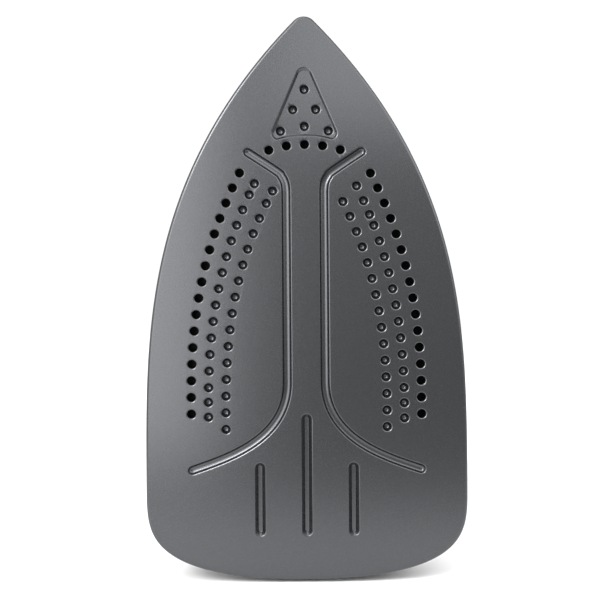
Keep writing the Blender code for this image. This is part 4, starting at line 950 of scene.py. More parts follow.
# %% Rear housing
DIAL_Z, SEAT_RADIUS = 88 * MM, 24 * MM
LAMP_Z, LAMP_BORE = 56 * MM, 3.3 * MM
rear_skins = hull_half(False, 0.0, EDGE_SOFT), hull_half(False, -HULL_WALL)
rear_housing = piece("rear_housing", slab(*rear_skins), pbt, "iron", ["body_shell"])
carve(rear_housing, [drill((0, 40 * MM, DIAL_Z), (0, 80 * MM, DIAL_Z), SEAT_RADIUS + GAP)])
carve(rear_housing, [drill((0, 50 * MM, LAMP_Z), (0, 80 * MM, LAMP_Z), LAMP_BORE)])

# %% [markdown]
# ## Water tank
#
# The tank is moulded clear, so that the water shows, and it is the nose of the iron. Its roof has
# a mouth under the filler door and a hole for the needle's stem. The mouth is an outline with round
# corners, carried through the wall.

# %% Water tank
DOOR_Z = (186.2 * MM, 203.0 * MM)  # where the filler door starts and ends
MOUTH_HALF_WIDTH, MOUTH_CORNER, MOUTH_BORDER = 6.2 * MM, 2.0 * MM, 3.2 * MM
MOUTH_MIDDLE, MOUTH_CLOSED = sum(DOOR_Z) / 2, 9 * MM
ROOF_LOW, ROOF_HIGH = 23.5 * MM, 60 * MM  # heights that a cut through the roof spans
NEEDLE_Z, NEEDLE_BORE = 160 * MM, 4.3 * MM
tank_skins = hull_half(True, 0.0, EDGE_SOFT), hull_half(True, -HULL_WALL)
water_tank = piece("water_tank", slab(*tank_skins), smoke, "iron", ["tank_dome"])
mouth = rounded_box(MOUTH_HALF_WIDTH, (DOOR_Z[1] - DOOR_Z[0]) / 2 - MOUTH_BORDER, MOUTH_CORNER)
carve(water_tank, [prism(mouth, MOUTH_CLOSED, ROOF_LOW, ROOF_HIGH, over(MOUTH_MIDDLE))])
carve(water_tank, [drill((0, 40 * MM, NEEDLE_Z), (0, 60 * MM, NEEDLE_Z), NEEDLE_BORE)])

# %% [markdown]
# ## Level marks
#
# Three bars of ink on each side of the tank show how much water is in it. They are pad-printed on
# the moulding, so each is a strip of the tank's own skin, a few hundredths of a millimetre proud.
# The one nearest the heel is the longest.

# %% Level marks
LEVELS = ((128 * MM, 9), (140 * MM, 6), (152 * MM, 6))  # z of a mark and its width in degrees
MARK_START, MARK_HALF = 17, 0.5  # degrees up from the tank's foot, and half a mark's height in mm
MARK_PROUD, MARK_DEEP = 0.06 * MM, 0.3 * MM
mark_blocks = []
for other_side in (False, True):
    for level, degrees in LEVELS:
        swing = np.radians(np.linspace(MARK_START, MARK_START + degrees, 12))[None, :]
        swing = np.pi - swing if other_side else swing
        rows = level + np.linspace(-MARK_HALF, MARK_HALF, 4)[:, None] * MM
        strips = [place(*hull_skin(rows, swing, grow), rows) for grow in (MARK_PROUD, -MARK_DEEP)]
        mark_blocks += slab(*strips)
piece("level_marks", mark_blocks, white_ink, "iron")

# %% [markdown]
# ## Handle
#
# The handle is one hollow loop. Its centre line rises behind the heel plate, runs level over the
# dial and comes down to the tank, and its section is a rounded oval that grows towards both feet.
# The surface is that oval carried along the line. Under the two top panels the skin drops by a
# wall, over a border only as wide as the seam.

# %% Handle surface
HANDLE_WALL, HANDLE_ROUND = 2.2 * MM, 2.6
HANDLE_PATH = np.array((  # z, h, half width, half thickness
    (23.5, 26.0, 30.0, 13.8), (23.5, 45.0, 30.0, 14.0), (23.5, 72.0, 27.0, 14.0),
    (25.0, 95.0, 23.0, 14.0), (37.0, 114.0, 18.5, 13.0), (62.0, 121.5, 16.0, 12.5),
    (92.0, 122.0, 15.5, 12.5), (118.0, 120.5, 17.0, 13.0), (138.0, 114.0, 19.5, 14.5),
    (151.0, 99.0, 22.0, 17.0), (157.5, 76.0, 24.0, 18.0), (160.5, 50.0, 26.0, 18.5),
    (162.0, 24.0, 27.0, 18.5))) * MM
PANEL_TURNS = (0.17 * np.pi, 0.83 * np.pi)
GRIP_PAD_Z, HANDLE_COVER_Z = (46 * MM, 100.5 * MM), (101.5 * MM, 146.5 * MM)
spine = smooth_line(HANDLE_PATH, 24)
spine_run = np.arange(len(spine)) / (len(spine) - 1.0)


def handle_skin(run, turn, grow):
    """A point of the handle at a run (0 to 1) along its line and a turn round its oval."""
    along = np.gradient(spine[:, :2], axis=0)
    along /= np.linalg.norm(along, axis=1)[:, None]
    z, h, wide, thick, tilt_z, tilt_h = (np.interp(run, spine_run, column) for column in (*spine.T, *along.T))
    x = (wide + grow) * signed_power(np.cos(turn), 2 / HANDLE_ROUND)
    out = (thick + grow) * signed_power(np.sin(turn), 2 / HANDLE_ROUND)
    return place(x, h + tilt_z * out, z - tilt_h * out)


def run_at(z):
    """Where along the grip its centre line passes height z."""
    grip = slice(len(spine) // 4, None)
    return np.interp(z, spine[grip, 0], spine_run[grip])


def with_lines(start, end, count, borders, widths):
    """Even grid lines from start to end, with extra ones beside each border."""
    extra = [border + width for border in borders for width in widths]
    return np.unique(np.concatenate([np.linspace(start, end, count), extra]))


def within(value, limits, seam):
    """1 between two limits, 0 more than a seam outside them, with a straight fall between."""
    return np.clip((value - limits[0]) / seam + 1, 0, 1) * np.clip((limits[1] - value) / seam + 1, 0, 1)


PANEL_RUNS = (run_at(GRIP_PAD_Z[0]), run_at(HANDLE_COVER_Z[1]))
SEAM_TURN, SEAM_RUN = 0.022, 0.0011  # the seam's width as a turn and as a run
SEAM_LINES = np.array((-1, -1 / 2, 0, 1 / 3))  # extra lines beside a border, in seams
runs = with_lines(0, 1, 150, PANEL_RUNS, SEAM_LINES * SEAM_RUN)[:, None]
turns = with_lines(0, 2 * np.pi, 97, PANEL_TURNS, SEAM_LINES * SEAM_TURN)[None, :-1]
sunk = within(runs, PANEL_RUNS, SEAM_RUN) * within(turns, PANEL_TURNS, SEAM_TURN)
outer_loop = handle_skin(runs, turns, -sunk * (HANDLE_WALL + GAP))
inner_loop = handle_skin(runs, turns, -(HANDLE_WALL * 2 + 2 * GAP) * np.ones_like(sunk))
ends = [grid(np.array([outer_loop[k], inner_loop[k]]), wrap_columns=True) for k in (0, -1)]
handle_blocks = [grid(outer_loop, wrap_columns=True), grid(inner_loop, wrap_columns=True), *ends]
handle = piece("handle", handle_blocks, pbt, "iron", ["handle_shell"])

# %% [markdown]
# ### Where the handle meets the hull
#
# The handle's two feet stand on the hull and behind it on the heel cover. Both feet are carried
# further than needed, then trimmed with a plug of the hull's own shape, a gap larger, and flat at
# the heel.

# %% Trim the handle
SILL_DROP = 10 * MM
HEEL_BLOCK = (50 * MM, 10 * MM, 0.1 * MM)  # half width, half depth and corner of what the heel cuts off


def hull_plug(grow):
    """The whole hull as one closed block, a gap larger, with a sill below it."""
    turn = np.linspace(0, np.pi, 65)[None, :]
    z = (tip_height(HULL_INSET - grow) - 0.5 * MM) * np.linspace(0, 1, 81)[:, None]
    x, h = hull_skin(np.maximum(z, HULL_REAR), turn, grow)
    arch = place(x, h, z)
    sill = arch[:, ::len(turn[0]) - 1][:, ::-1] - (0, SILL_DROP, 0)
    rings = np.concatenate([arch, sill], axis=1)
    caps = [place(0, HULL_LOW, z[k]) * np.ones((1, rings.shape[1], 1)) for k in (0, -1)]
    return grid(np.concatenate([caps[0], rings, caps[1]]), wrap_columns=True)


carve(handle, [hull_plug(GAP)])
heel_cut = rounded_box(*HEEL_BLOCK, 2)
carve(handle, [prism(heel_cut, 60 * MM, 10 * MM, 112 * MM, over(HULL_REAR - HEEL_BLOCK[1]))])
print("handle after trimming:", len(handle.data.polygons), "faces")

# %% [markdown]
# ## Top panels
#
# The grip pad is soft rubber under the palm, moulded over a carrier, and the cover ahead of it
# carries the controls. Both are slabs of the handle's own surface with rounded edges, so they sit
# flush whatever its curve. The pad is crowned a little and has furrows across it for grip.

# %% Top panels
PANEL_ARC = 36 * MM  # a panel's width round the oval
PAD_CROWN, PAD_FURROWS, PAD_FURROW = 0.5 * MM, 16, 0.5 * MM


def panel(name, z_range, material, nodes, crown=0.0, furrows=0, furrow=0.0):
    """A slab of the handle's top between two heights: its edges rounded, its middle crowned, and
    furrows across it, each a power of a cosine along the grip that fades out at the sides."""
    border = np.array([0, 0.006, 0.018, 0.035])
    u = np.concatenate([border, np.linspace(0.05, 0.95, 200 if furrows else 40), 1 - border[::-1]])[:, None]
    v = np.concatenate([border, np.linspace(0.06, 0.94, 40), 1 - border[::-1]])[None, :]
    start, end = run_at(z_range[0]), run_at(z_range[1])
    length = z_range[1] - z_range[0]
    distance = np.minimum(np.minimum(u, 1 - u) * length, np.minimum(v, 1 - v) * PANEL_ARC)
    bulge = crown * np.sin(np.pi * u) * np.sin(np.pi * v)
    fade = within(u, (0.12, 0.88), 0.02) * within(v, (0.24, 0.76), 0.08)
    lines = furrow * np.cos(np.pi * furrows * u) ** 16 * fade
    dip = bulge - lines - rounded_edge(distance, EDGE_SOFT)
    turn = PANEL_TURNS[0] + (PANEL_TURNS[1] - PANEL_TURNS[0]) * v
    top = handle_skin(start + (end - start) * u, turn, dip)
    under = handle_skin(start + (end - start) * u, turn, np.full(dip.shape, -HANDLE_WALL))
    return piece(name, slab(top, under), material, "iron", nodes)


panel("palm_pad", GRIP_PAD_Z, soft_touch, ["grip_pad"], crown=PAD_CROWN,
      furrows=PAD_FURROWS, furrow=PAD_FURROW)
control_cover = panel("control_cover", HANDLE_COVER_Z, pbt, ["handle_cover"])

# %% [markdown]
# ## Spray and steam buttons
#
# Two ABS caps sit side by side in wells, leaning with the handle, each dished for a thumb. A cap is
# a stack: an outline with round corners carried up its side, over its edge and down into the dish.
# The dish is flat in the middle, where a drop or three waves are printed in dark ink, as a film
# with an outline of its own.

# %% Buttons
BUTTON_X, BUTTON_Z, BUTTON_SURFACE = 8.3 * MM, 142.5 * MM, 127.7 * MM
BUTTON_LEAN = np.radians(27)
CAP_HALF_X, CAP_HALF_Z, CAP_CORNER, CAP_PLAY = 6.5 * MM, 8.0 * MM, 2.0 * MM, 0.4 * MM
CAP_LOW, CAP_TOP, CAP_SOFT, CAP_DISH = -3.5 * MM, 2.4 * MM, 1.1 * MM, 0.9 * MM
WELL_HIGH, COVER_WELL, HANDLE_WELL = 8 * MM, -8 * MM, -24 * MM  # where the cuts end, along a button
INK_LEVEL = CAP_TOP - CAP_DISH
INK_PROFILE = [(0.0, INK_LEVEL - 0.2 * MM), (0.0, INK_LEVEL + 0.05 * MM), (0.05 * MM, INK_LEVEL + 0.06 * MM)]
button_axis = np.array((0.0, np.cos(BUTTON_LEAN), np.sin(BUTTON_LEAN)))
button_seats = {name: on_axis(place(side * BUTTON_X, BUTTON_SURFACE, BUTTON_Z), button_axis)
                for name, side in (("spray", -1), ("steam", 1))}


def dished_top(half, top, soft, dish, steps=6):
    """Top of a button as (inset, height): a round-over, then a hollow with a flat middle."""
    turn = np.linspace(0, np.pi / 2, steps)
    edge = [(soft * (1 - np.cos(t)), top - soft * (1 - np.sin(t))) for t in turn]
    share = np.linspace(0, 1, 2 * steps)[1:]
    fall = np.sin(np.pi / 2 * np.minimum(share / 0.55, 1)) ** 2
    return edge + [(soft + (half - soft) * s, top - dish * f) for s, f in zip(share, fall)]


def droplet(inset):
    """A drop with its point up: a circle below, drawn out to a point above."""
    turn = np.linspace(0, 2 * np.pi, 40, endpoint=False)
    point = np.clip(np.sin(turn), 0, 1) ** 4
    radius = 1.15 * MM - inset
    return radius * np.stack([np.cos(turn) * (1 - point), np.sin(turn) + 1.0 * point], -1)


def wave(inset, across=0.0):
    """A short upright wave, for steam, as the outline about its centre line."""
    z = np.linspace(-1.7, 1.7, 16) * MM
    line = np.stack([across + 0.35 * MM * np.sin(z / MM * 2.0), z], -1)
    return channel(line, 0.28 * MM - inset, 5)


def printed(sign, seat):
    """A film of ink with a sign's outline: its edge, then its underside and its top."""
    blocks = [stack(sign, INK_PROFILE, seat)]
    for inset, level in (INK_PROFILE[0], INK_PROFILE[-1]):
        loop = sign(inset)
        blocks.append((seat(loop[:, 0], np.full(len(loop), level), loop[:, 1]), filled([loop], 0.0)[1]))
    return blocks


signs = {"spray": [droplet], "steam": [partial(wave, across=at) for at in (-1.5 * MM, 0.0, 1.5 * MM)]}
well = rounded_box(CAP_HALF_X + CAP_PLAY, CAP_HALF_Z + CAP_PLAY, CAP_CORNER + CAP_PLAY)
cap = rounded_box(CAP_HALF_X, CAP_HALF_Z, CAP_CORNER)
cap_profile = [(CAP_HALF_X, CAP_LOW), (0, CAP_LOW)] + dished_top(CAP_HALF_X, CAP_TOP, CAP_SOFT, CAP_DISH)
for name, seat in button_seats.items():
    carve(control_cover, [prism(well, CAP_HALF_X + CAP_PLAY, COVER_WELL, WELL_HIGH, seat)])
    carve(handle, [prism(well, CAP_HALF_X + CAP_PLAY, HANDLE_WELL, WELL_HIGH, seat)])
    piece(f"{name}_key", [stack(cap, cap_profile, seat)], abs_grey, f"{name}_press",
          [f"{name}_button"])
    ink_blocks = [block for sign in signs[name] for block in printed(sign, seat)]
    piece(f"{name}_sign", ink_blocks, dark_ink, f"{name}_press")

# %% [markdown]
# ## Button springs
#
# A steel coil stands between each button and its pump, so it shortens as the button goes down. It
# is a tube carried along a helix, with its ends drawn to a point.

# %% Button springs
SPRING_RADIUS, SPRING_WIRE, SPRING_COILS = 4.1 * MM, 0.35 * MM, 4
SPRING_LOW, SPRING_HIGH = -11.4 * MM, -4.2 * MM


def helix(seat):
    """The coil's surface. Its point at angle a is (radius cos a, rise, radius sin a), and the rise
    goes evenly with a; the wire's own circle is added to the radius and the rise."""
    angle = np.linspace(0, 2 * np.pi * SPRING_COILS, 24 * SPRING_COILS + 1)[:, None]
    around = np.linspace(0, 2 * np.pi, 11)[None, :-1]
    thin = np.where((angle == angle.min()) | (angle == angle.max()), 0.0, 1.0) * SPRING_WIRE
    reach = SPRING_RADIUS + thin * np.cos(around)
    rise = SPRING_LOW + (SPRING_HIGH - SPRING_LOW) * angle / angle.max() + thin * np.sin(around)
    return seat(reach * np.cos(angle), rise, reach * np.sin(angle))


for name, seat in button_seats.items():
    coil = piece(f"{name}_coil", [grid(helix(seat), wrap_columns=True)], plated, "iron",
                 [f"{name}_spring"])
    foot = seat(*np.array([[0.0], [SPRING_LOW], [0.0]]))[0]
    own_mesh(coil)

# %% [markdown]
# ## Steam slider
#
# A thumb piece runs in a slot behind the buttons and lifts the valve's needle. It is a cushion with
# three ribs across its top, so its height is worked out over its plan, and a stem joined under it
# goes down through the slot.

# %% Slider
SLIDER_Z, SLIDER_H = 113 * MM, 134.5 * MM
SLIDER_SLOT, SLIDER_SLOT_AHEAD = (2.0 * MM, 6.5 * MM, 1.9 * MM), 4 * MM  # half sizes, corner; offset
SLIDER_STEM, STEM_BEHIND = (1.6 * MM, 1.25 * MM, 0.5 * MM), 0.85 * MM
THUMB_HALF_X, THUMB_HALF_Z, THUMB_HEIGHT, THUMB_BEHIND = 6.0 * MM, 5.25 * MM, 3.0 * MM, 0.25 * MM
THUMB_RIBS, THUMB_FURROW, THUMB_RIBBED = 3, 0.5 * MM, 0.8  # ribs each way, their depth, ribbed share
slot_place = over(SLIDER_Z + SLIDER_SLOT_AHEAD)
slider_slot = prism(rounded_box(*SLIDER_SLOT), SLIDER_SLOT[0], 110 * MM, 145 * MM, slot_place)
carve(control_cover, [slider_slot])
carve(handle, [slider_slot])


def edge_fall(share):
    """1 over the middle of a span from -1 to 1, down a quarter oval to 0 at both ends."""
    return np.sqrt(1 - np.clip(1 - (1 - np.abs(share)) / 0.22, 0, 1) ** 2)


def thumb_piece():
    """A cushion over a grid of u and v: height less the furrows (1 - cos) / 2, dropped at the edges."""
    u = np.sin(np.linspace(-np.pi / 2, np.pi / 2, 41))[None, :]
    v = np.linspace(-1, 1, 121)[:, None]
    ribbed = v / THUMB_RIBBED
    furrow = THUMB_FURROW * np.clip((1 - np.abs(ribbed)) * 6, 0, 1)
    furrow = furrow * (0.5 - 0.5 * np.cos(2 * np.pi * THUMB_RIBS * ribbed))
    rise = np.maximum((THUMB_HEIGHT - furrow) * edge_fall(u) * edge_fall(v), 0.0)
    x = u * THUMB_HALF_X * np.ones_like(v)
    z = v * THUMB_HALF_Z * np.ones_like(u) + SLIDER_Z - THUMB_BEHIND
    return slab(place(x, SLIDER_H + rise, z), place(x, SLIDER_H - 0.01 * MM, z))


steam_thumb = piece("steam_thumb", thumb_piece(), abs_grey, "slider", ["steam_slider"])
stem_place = over(SLIDER_Z - STEM_BEHIND)
steam_stem = prism(rounded_box(*SLIDER_STEM), SLIDER_STEM[1], 128.5 * MM, 135.5 * MM, stem_place)
carve(steam_thumb, [steam_stem], "UNION")

# %% [markdown]
# ## Temperature dial
#
# The dial is a disc with a scalloped edge for the fingers and a bar across it as a pointer. Its
# edge is a circle whose radius swings with the angle, and the swing fades out towards the top. The
# bar is a block of its own, joined on.

# %% Dial
DIAL_RADIUS, DIAL_LOW, DIAL_HIGH = 20.5 * MM, 68.3 * MM, 76.5 * MM
DIAL_EDGE, DIAL_FACE = 72.6 * MM, 73.7 * MM  # where the side ends, and the face inside the round edge
DIAL_OVER, DIAL_CROWN = 1.8 * MM, 1.4 * MM  # the round edge, inwards and upwards
DIAL_DRAFT, DIAL_CHAMFER = 0.2 * MM, 0.5 * MM
BAR_HALF_X, BAR_HALF_Z, BAR_CORNER, BAR_LOW = 2.6 * MM, 16.5 * MM, 2.5 * MM, 73.2 * MM
SCALLOPS, SCALLOP_DROP, SCALLOP_FADE = 30, 0.7 * MM, 2.2 * MM


def scalloped(inset):
    """A circle whose radius drops at each scallop, the drop fading as the outline draws in."""
    turn = np.linspace(0, 2 * np.pi, SCALLOPS * 10, endpoint=False)
    drop = SCALLOP_DROP * np.clip(1 - inset / SCALLOP_FADE, 0, 1) * np.abs(np.cos(turn * SCALLOPS / 2)) ** 3
    radius = np.maximum(DIAL_RADIUS - inset - drop, 0)
    return radius[:, None] * np.stack([np.cos(turn), np.sin(turn)], -1)


dial_profile = [(DIAL_RADIUS, DIAL_LOW), (DIAL_CHAMFER, DIAL_LOW), (0, DIAL_LOW + DIAL_CHAMFER)]
dial_profile += [(DIAL_DRAFT + DIAL_OVER * (1 - np.cos(t)), DIAL_EDGE + DIAL_CROWN * np.sin(t))
                 for t in np.linspace(0, np.pi / 2, 7)]
dial_profile += [(12 * MM, DIAL_FACE), (DIAL_RADIUS, DIAL_FACE)]
about_dial = over(DIAL_Z)
heat_dial = piece("heat_dial", [stack(scalloped, dial_profile, about_dial)], abs_grey, "dial",
                  ["temperature_dial"])
pointer = rounded_box(BAR_HALF_X, BAR_HALF_Z, BAR_CORNER)
bar_profile = [(BAR_HALF_X, BAR_LOW), (0, BAR_LOW)] + dished_top(BAR_HALF_X, DIAL_HIGH, 0.9 * MM, 0.25 * MM)
carve(heat_dial, [stack(pointer, bar_profile, about_dial)], "UNION")

# %% [markdown]
# ## Dial ring with its scale
#
# The dial turns in a ring of phenolic let into the housing. Its scale is printed: a shader lays the
# ink where the distance from the dial's axis is between two radii and the angle is near a tick.

# %% Dial ring
TICK_RADII, TICKS, TICK_WIDTH = (21.2 * MM, 23.2 * MM), 12, 0.6 * MM


def ticked(material, centre, radii, count, width):
    """Prints ticks: where the distance from an axis lies between two radii, at even angles."""
    shader = material.node_tree.nodes["Principled BSDF"]
    base = shader.inputs["Base Color"].links[0].from_socket
    where = add(material, "TexCoord").outputs["Object"]
    about = add(material, "Mapping", {"Vector": where, "Location": [-c for c in centre]})
    apart = add(material, "SeparateXYZ", {"Vector": about.outputs["Vector"]})
    squares = [
        add(material, "Math", {0: apart.outputs[axis], 1: 2.0}, operation="POWER") for axis in ("X", "Z")
    ]
    total = add(material, "Math", {0: squares[0].outputs[0], 1: squares[1].outputs[0]}).outputs[0]
    radius = add(material, "Math", {0: total}, operation="SQRT").outputs[0]
    angle = add(material, "Math", {0: apart.outputs["Z"], 1: apart.outputs["X"]}, operation="ARCTAN2")
    # Ping-pong rises to this angle and falls again, so it is zero once for every tick.
    half_step = np.pi / count
    nearest = add(material, "Math", {0: angle.outputs[0], 1: half_step}, operation="PINGPONG").outputs[0]
    across = add(material, "Math", {0: nearest, 1: radius}, operation="MULTIPLY").outputs[0]
    on_tick = add(material, "Math", {0: across, 1: width / 2}, operation="LESS_THAN").outputs[0]
    past_low = add(material, "Math", {0: radius, 1: radii[0]}, operation="GREATER_THAN").outputs[0]
    below_high = add(material, "Math", {0: radius, 1: radii[1]}, operation="LESS_THAN").outputs[0]
    on_band = add(material, "Math", {0: past_low, 1: below_high}, operation="MULTIPLY").outputs[0]
    ink = add(material, "Math", {0: on_band, 1: on_tick}, operation="MULTIPLY").outputs[0]
    tones = add(material, "Mix", {"Factor": ink, "A": base, "B": linear(INK_WHITE)}, data_type="RGBA")
    material.node_tree.links.new(tones.outputs[2], shader.inputs["Base Color"])
    return material


ring_black = finish("black phenolic with printed ticks", "1C1C1D", 0.48)
vary(ring_black, 0.6 * MM, ("191919", "202021"), (0.42, 0.56), 0.012 * MM)
ticked(ring_black, (0.0, 0.0, DIAL_Z), TICK_RADII, TICKS, TICK_WIDTH)
ring_section = softened(((23.8, 67.7), (24.0, 66.9), (24.0, 58.0), (22.0, 58.0), (22.0, 64.0), (3.9, 64.0),
                         (3.9, 67.7)), 0.3, closed=True) * MM  # radius and height
piece("dial_ring", [turned(ring_section, about_dial, 128, closed=True)], ring_black, "iron",
      ["dial_seat"])

# %% [markdown]
# ## Lamp lens
#
# A small amber dome, pressed into the housing behind the dial, passes the light of the heating
# lamp. It is turned, and its roof stands a little proud of the ridge.

# %% Lamp lens
lens_roof = float(hull_top(LAMP_Z))
lens_profile = np.array(((0, -4.0), (3.0, -4.0), (3.0, 0.2), (2.7, 0.8), (2.1, 1.25), (1.2, 1.5),
                         (0, 1.6))) * MM
piece("lamp_lens", [turned(lens_profile + (0, lens_roof), over(LAMP_Z), 40)], amber, "iron",
      ["indicator_lens"])

# %% [markdown]
# ## Filler: bezel, door and seal
#
# Water goes in under a small door ahead of the handle. A bezel glued over the mouth carries two
# ears, and the door's barrel turns on a steel pin between them. Bezel, door and seal are patches
# of the hull's own skin, each grown outwards by its own amount.

# %% Filler bezel
DOOR_HALF_WIDTH, DOOR_GROW = 8.0 * MM, (3.0 * MM, 4.8 * MM)  # grown from the hull: underside, top
BEZEL_HALF_WIDTH, BEZEL_GROW = 9.8 * MM, (0.5 * MM, 1.5 * MM)
BEZEL_Z = (DOOR_Z[0] - 4.2 * MM, DOOR_Z[1] + 0.8 * MM)
SEAL_HALF_WIDTH, SEAL_BORDER = 7.4 * MM, 1.4 * MM
DOOR_REAR = DOOR_Z[0] + 1.1 * MM
HINGE_Z = 184.2 * MM
HINGE_H = float(hull_top(HINGE_Z)) + 4.0 * MM
EAR_X, EAR_HALF_X, EAR_HALF_Z = 7.2 * MM, 1.3 * MM, 1.9 * MM
PIN_BORE, PIN_REACH = 1.1 * MM, 9.9 * MM
BARREL_RADIUS, BARREL_REACH = 1.8 * MM, 5.5 * MM


def patch(grow, half, low, high, soft=0.0, count=28):
    """A patch of the hull's skin over the mouth; its border dips by soft to round it over."""
    z = np.linspace(low, high, count)[:, None]
    x = np.linspace(half, -half, count)[None, :]
    near = np.minimum(np.minimum(z - low, high - z), half - np.abs(x))
    share = np.clip(np.abs(x) / half_width(z, HULL_INSET - grow), 0, 1)
    rise = hull_top(z) + grow - HULL_LOW
    h = HULL_LOW + rise * (1 - share**HULL_ROUND) ** (1 / HULL_ROUND)
    return place(x, h - (rounded_edge(near, soft) if soft else 0.0), z)


def cross_rod(half_length, radius, steps=32):
    """A closed rod along x through the hinge axis."""
    turn = np.linspace(0, 2 * np.pi, steps, endpoint=False)
    x = np.array((-half_length, -half_length, half_length, half_length))[:, None]
    r = np.array((0, radius, radius, 0))[:, None]
    return grid(place(x, HINGE_H + r * np.sin(turn), HINGE_Z + r * np.cos(turn)), wrap_columns=True)


rim_skins = (patch(BEZEL_GROW[1], BEZEL_HALF_WIDTH, *BEZEL_Z, soft=0.5 * MM),
             patch(BEZEL_GROW[0], BEZEL_HALF_WIDTH, *BEZEL_Z))
filler_rim = piece("filler_rim", slab(*rim_skins), pbt, "iron", ["filler_bezel"])
rim_hole = rounded_box(6.6 * MM, (DOOR_Z[1] - DOOR_Z[0]) / 2 - 2.8 * MM, 2.2 * MM)
carve(filler_rim, [prism(rim_hole, MOUTH_CLOSED, ROOF_LOW, ROOF_HIGH, over(MOUTH_MIDDLE))])
ear = rounded_box(EAR_HALF_X, EAR_HALF_Z, 0.5 * MM)
ear_profile = [(EAR_HALF_X, HINGE_H - 2.7 * MM), (0, HINGE_H - 2.7 * MM), (0, HINGE_H + 1.2 * MM),
               (0.5 * MM, HINGE_H + 1.7 * MM), (EAR_HALF_X, HINGE_H + 1.7 * MM)]
for side in (-1, 1):
    carve(filler_rim, [stack(ear, ear_profile, over(HINGE_Z, side * EAR_X))], "UNION")
carve(filler_rim, [cross_rod(PIN_REACH, PIN_BORE)])

# %% [markdown]
# The door is the same kind of slab, further out, with a lug that joins it to its barrel, bored for
# the pin. The seal is a pad of red silicone under it, which closes the mouth.

# %% Filler door and seal
LUG_REACH = 1.5 * MM  # how far the lug runs in under the door
door_skins = (patch(DOOR_GROW[1], DOOR_HALF_WIDTH, DOOR_REAR, DOOR_Z[1], soft=0.6 * MM),
              patch(DOOR_GROW[0], DOOR_HALF_WIDTH, DOOR_REAR, DOOR_Z[1]))
filler_lid = piece("filler_lid", slab(*door_skins), pbt, "door", ["filler_door"])
lug = rounded_box(5.0 * MM, (DOOR_REAR + LUG_REACH - HINGE_Z) / 2, 0.2 * MM, 3)
lug_place = over((HINGE_Z + DOOR_REAR + LUG_REACH) / 2)
carve(filler_lid, [prism(lug, 3 * MM, HINGE_H - 2.0 * MM, HINGE_H - 0.4 * MM, lug_place)], "UNION")
carve(filler_lid, [cross_rod(BARREL_REACH, BARREL_RADIUS)], "UNION")
carve(filler_lid, [cross_rod(PIN_REACH, PIN_BORE)])
seal_z = (DOOR_REAR + SEAL_BORDER, DOOR_Z[1] - SEAL_BORDER)
seal_skins = (patch(DOOR_GROW[0] - GAP, SEAL_HALF_WIDTH, *seal_z, count=16),
              patch(BEZEL_GROW[1] + GAP, SEAL_HALF_WIDTH, *seal_z, soft=0.2 * MM, count=16))
piece("lid_seal", slab(*seal_skins), silicone, "door", ["door_seal"])

# %% [markdown]
# ## Spray nozzle
#
# A turned tip with a fine hole sits in a bore at the front of the handle and points over the tip of
# the sole. Its profile is spun about that aim.

# %% Nozzle
NOZZLE_H, NOZZLE_Z, NOZZLE_BORE = 80.4 * MM, 177.5 * MM, 5.3 * MM
nozzle_axis = on_axis(place(0, NOZZLE_H, NOZZLE_Z), (0, -0.20, 1))
carve(handle, [rod(NOZZLE_BORE, -20 * MM, 10 * MM, nozzle_axis)])
nozzle_profile = softened(((0, 2.6), (0.5, 2.6), (0.55, 4.0), (1.3, 4.0), (3.0, 2.6), (3.2, 1.6), (4.6, 0.4),
                           (4.8, -0.4), (4.8, -6.0), (0, -6.0)), 0.25) * MM
piece("spray_tip", [turned(nozzle_profile, nozzle_axis, 56)], abs_grey, "iron",
      ["spray_nozzle"])

# %% [markdown]
# ## Cord outlet
#
# The mains lead leaves through a ball that swings in a ring at the foot of the handle. Both are
# turned phenolic: the ring is a closed section, and the ball has a bore for the lead and a collar
# with three ribs.

# %% Cord outlet
OUTLET_Z, OUTLET_H, OUTLET_BORE = 31 * MM, 117.5 * MM, 11.3 * MM
LEAD_BORE, BALL_RADIUS, RING_LIP = 3.1 * MM, 7.8 * MM, 2.6  # the lip in mm, as the ring's section
COLLAR_TOP, RIB_PITCH = 15.5 * MM, 2.4 * MM
outlet = on_axis(place(0, OUTLET_H, OUTLET_Z), (0, 1, 0))
carve(handle, [rod(OUTLET_BORE, -7.5 * MM, 25 * MM, outlet, 64)])
socket_section = softened(((11.0, RING_LIP), (11.0, -5.0), (9.2, -5.0), (9.2, RING_LIP - 1.6),
                           (8.4, RING_LIP)), 0.4, closed=True) * MM
piece("outlet_ring", [turned(socket_section, outlet, 72, closed=True)], phenolic, "iron",
      ["cord_socket"])
ball = [(BALL_RADIUS * np.cos(t), BALL_RADIUS * np.sin(t)) for t in np.linspace(0.62, -1.0, 22)]
collar = [(4.4 * MM, COLLAR_TOP), (5.0 * MM, COLLAR_TOP - 0.9 * MM)]
for k in range(3):  # three ribs round the collar
    top = COLLAR_TOP - 2.3 * MM - RIB_PITCH * k
    collar += [(5.3 * MM, top + 0.6 * MM), (5.3 * MM, top - 0.6 * MM), (4.8 * MM, top - 0.9 * MM),
               (4.8 * MM, top - 1.5 * MM)]
bore = [(LEAD_BORE, -6.8 * MM), (LEAD_BORE, COLLAR_TOP)]
ball_section = softened([*collar, *ball, *bore], 0.25 * MM, 3, closed=True)
piece("swivel_ball", [turned(ball_section, outlet, 64, closed=True)], phenolic, "gland",
      ["cord_gland"])

# %% [markdown]
# ## Heel cover
#
# The heel cover closes the rear end, and the iron stands on it. It is the outline of that end, a
# smooth line over the hull and the handle's foot, drawn in along a quarter oval towards a flat
# face. The points given are those of one half, and the other half mirrors them.

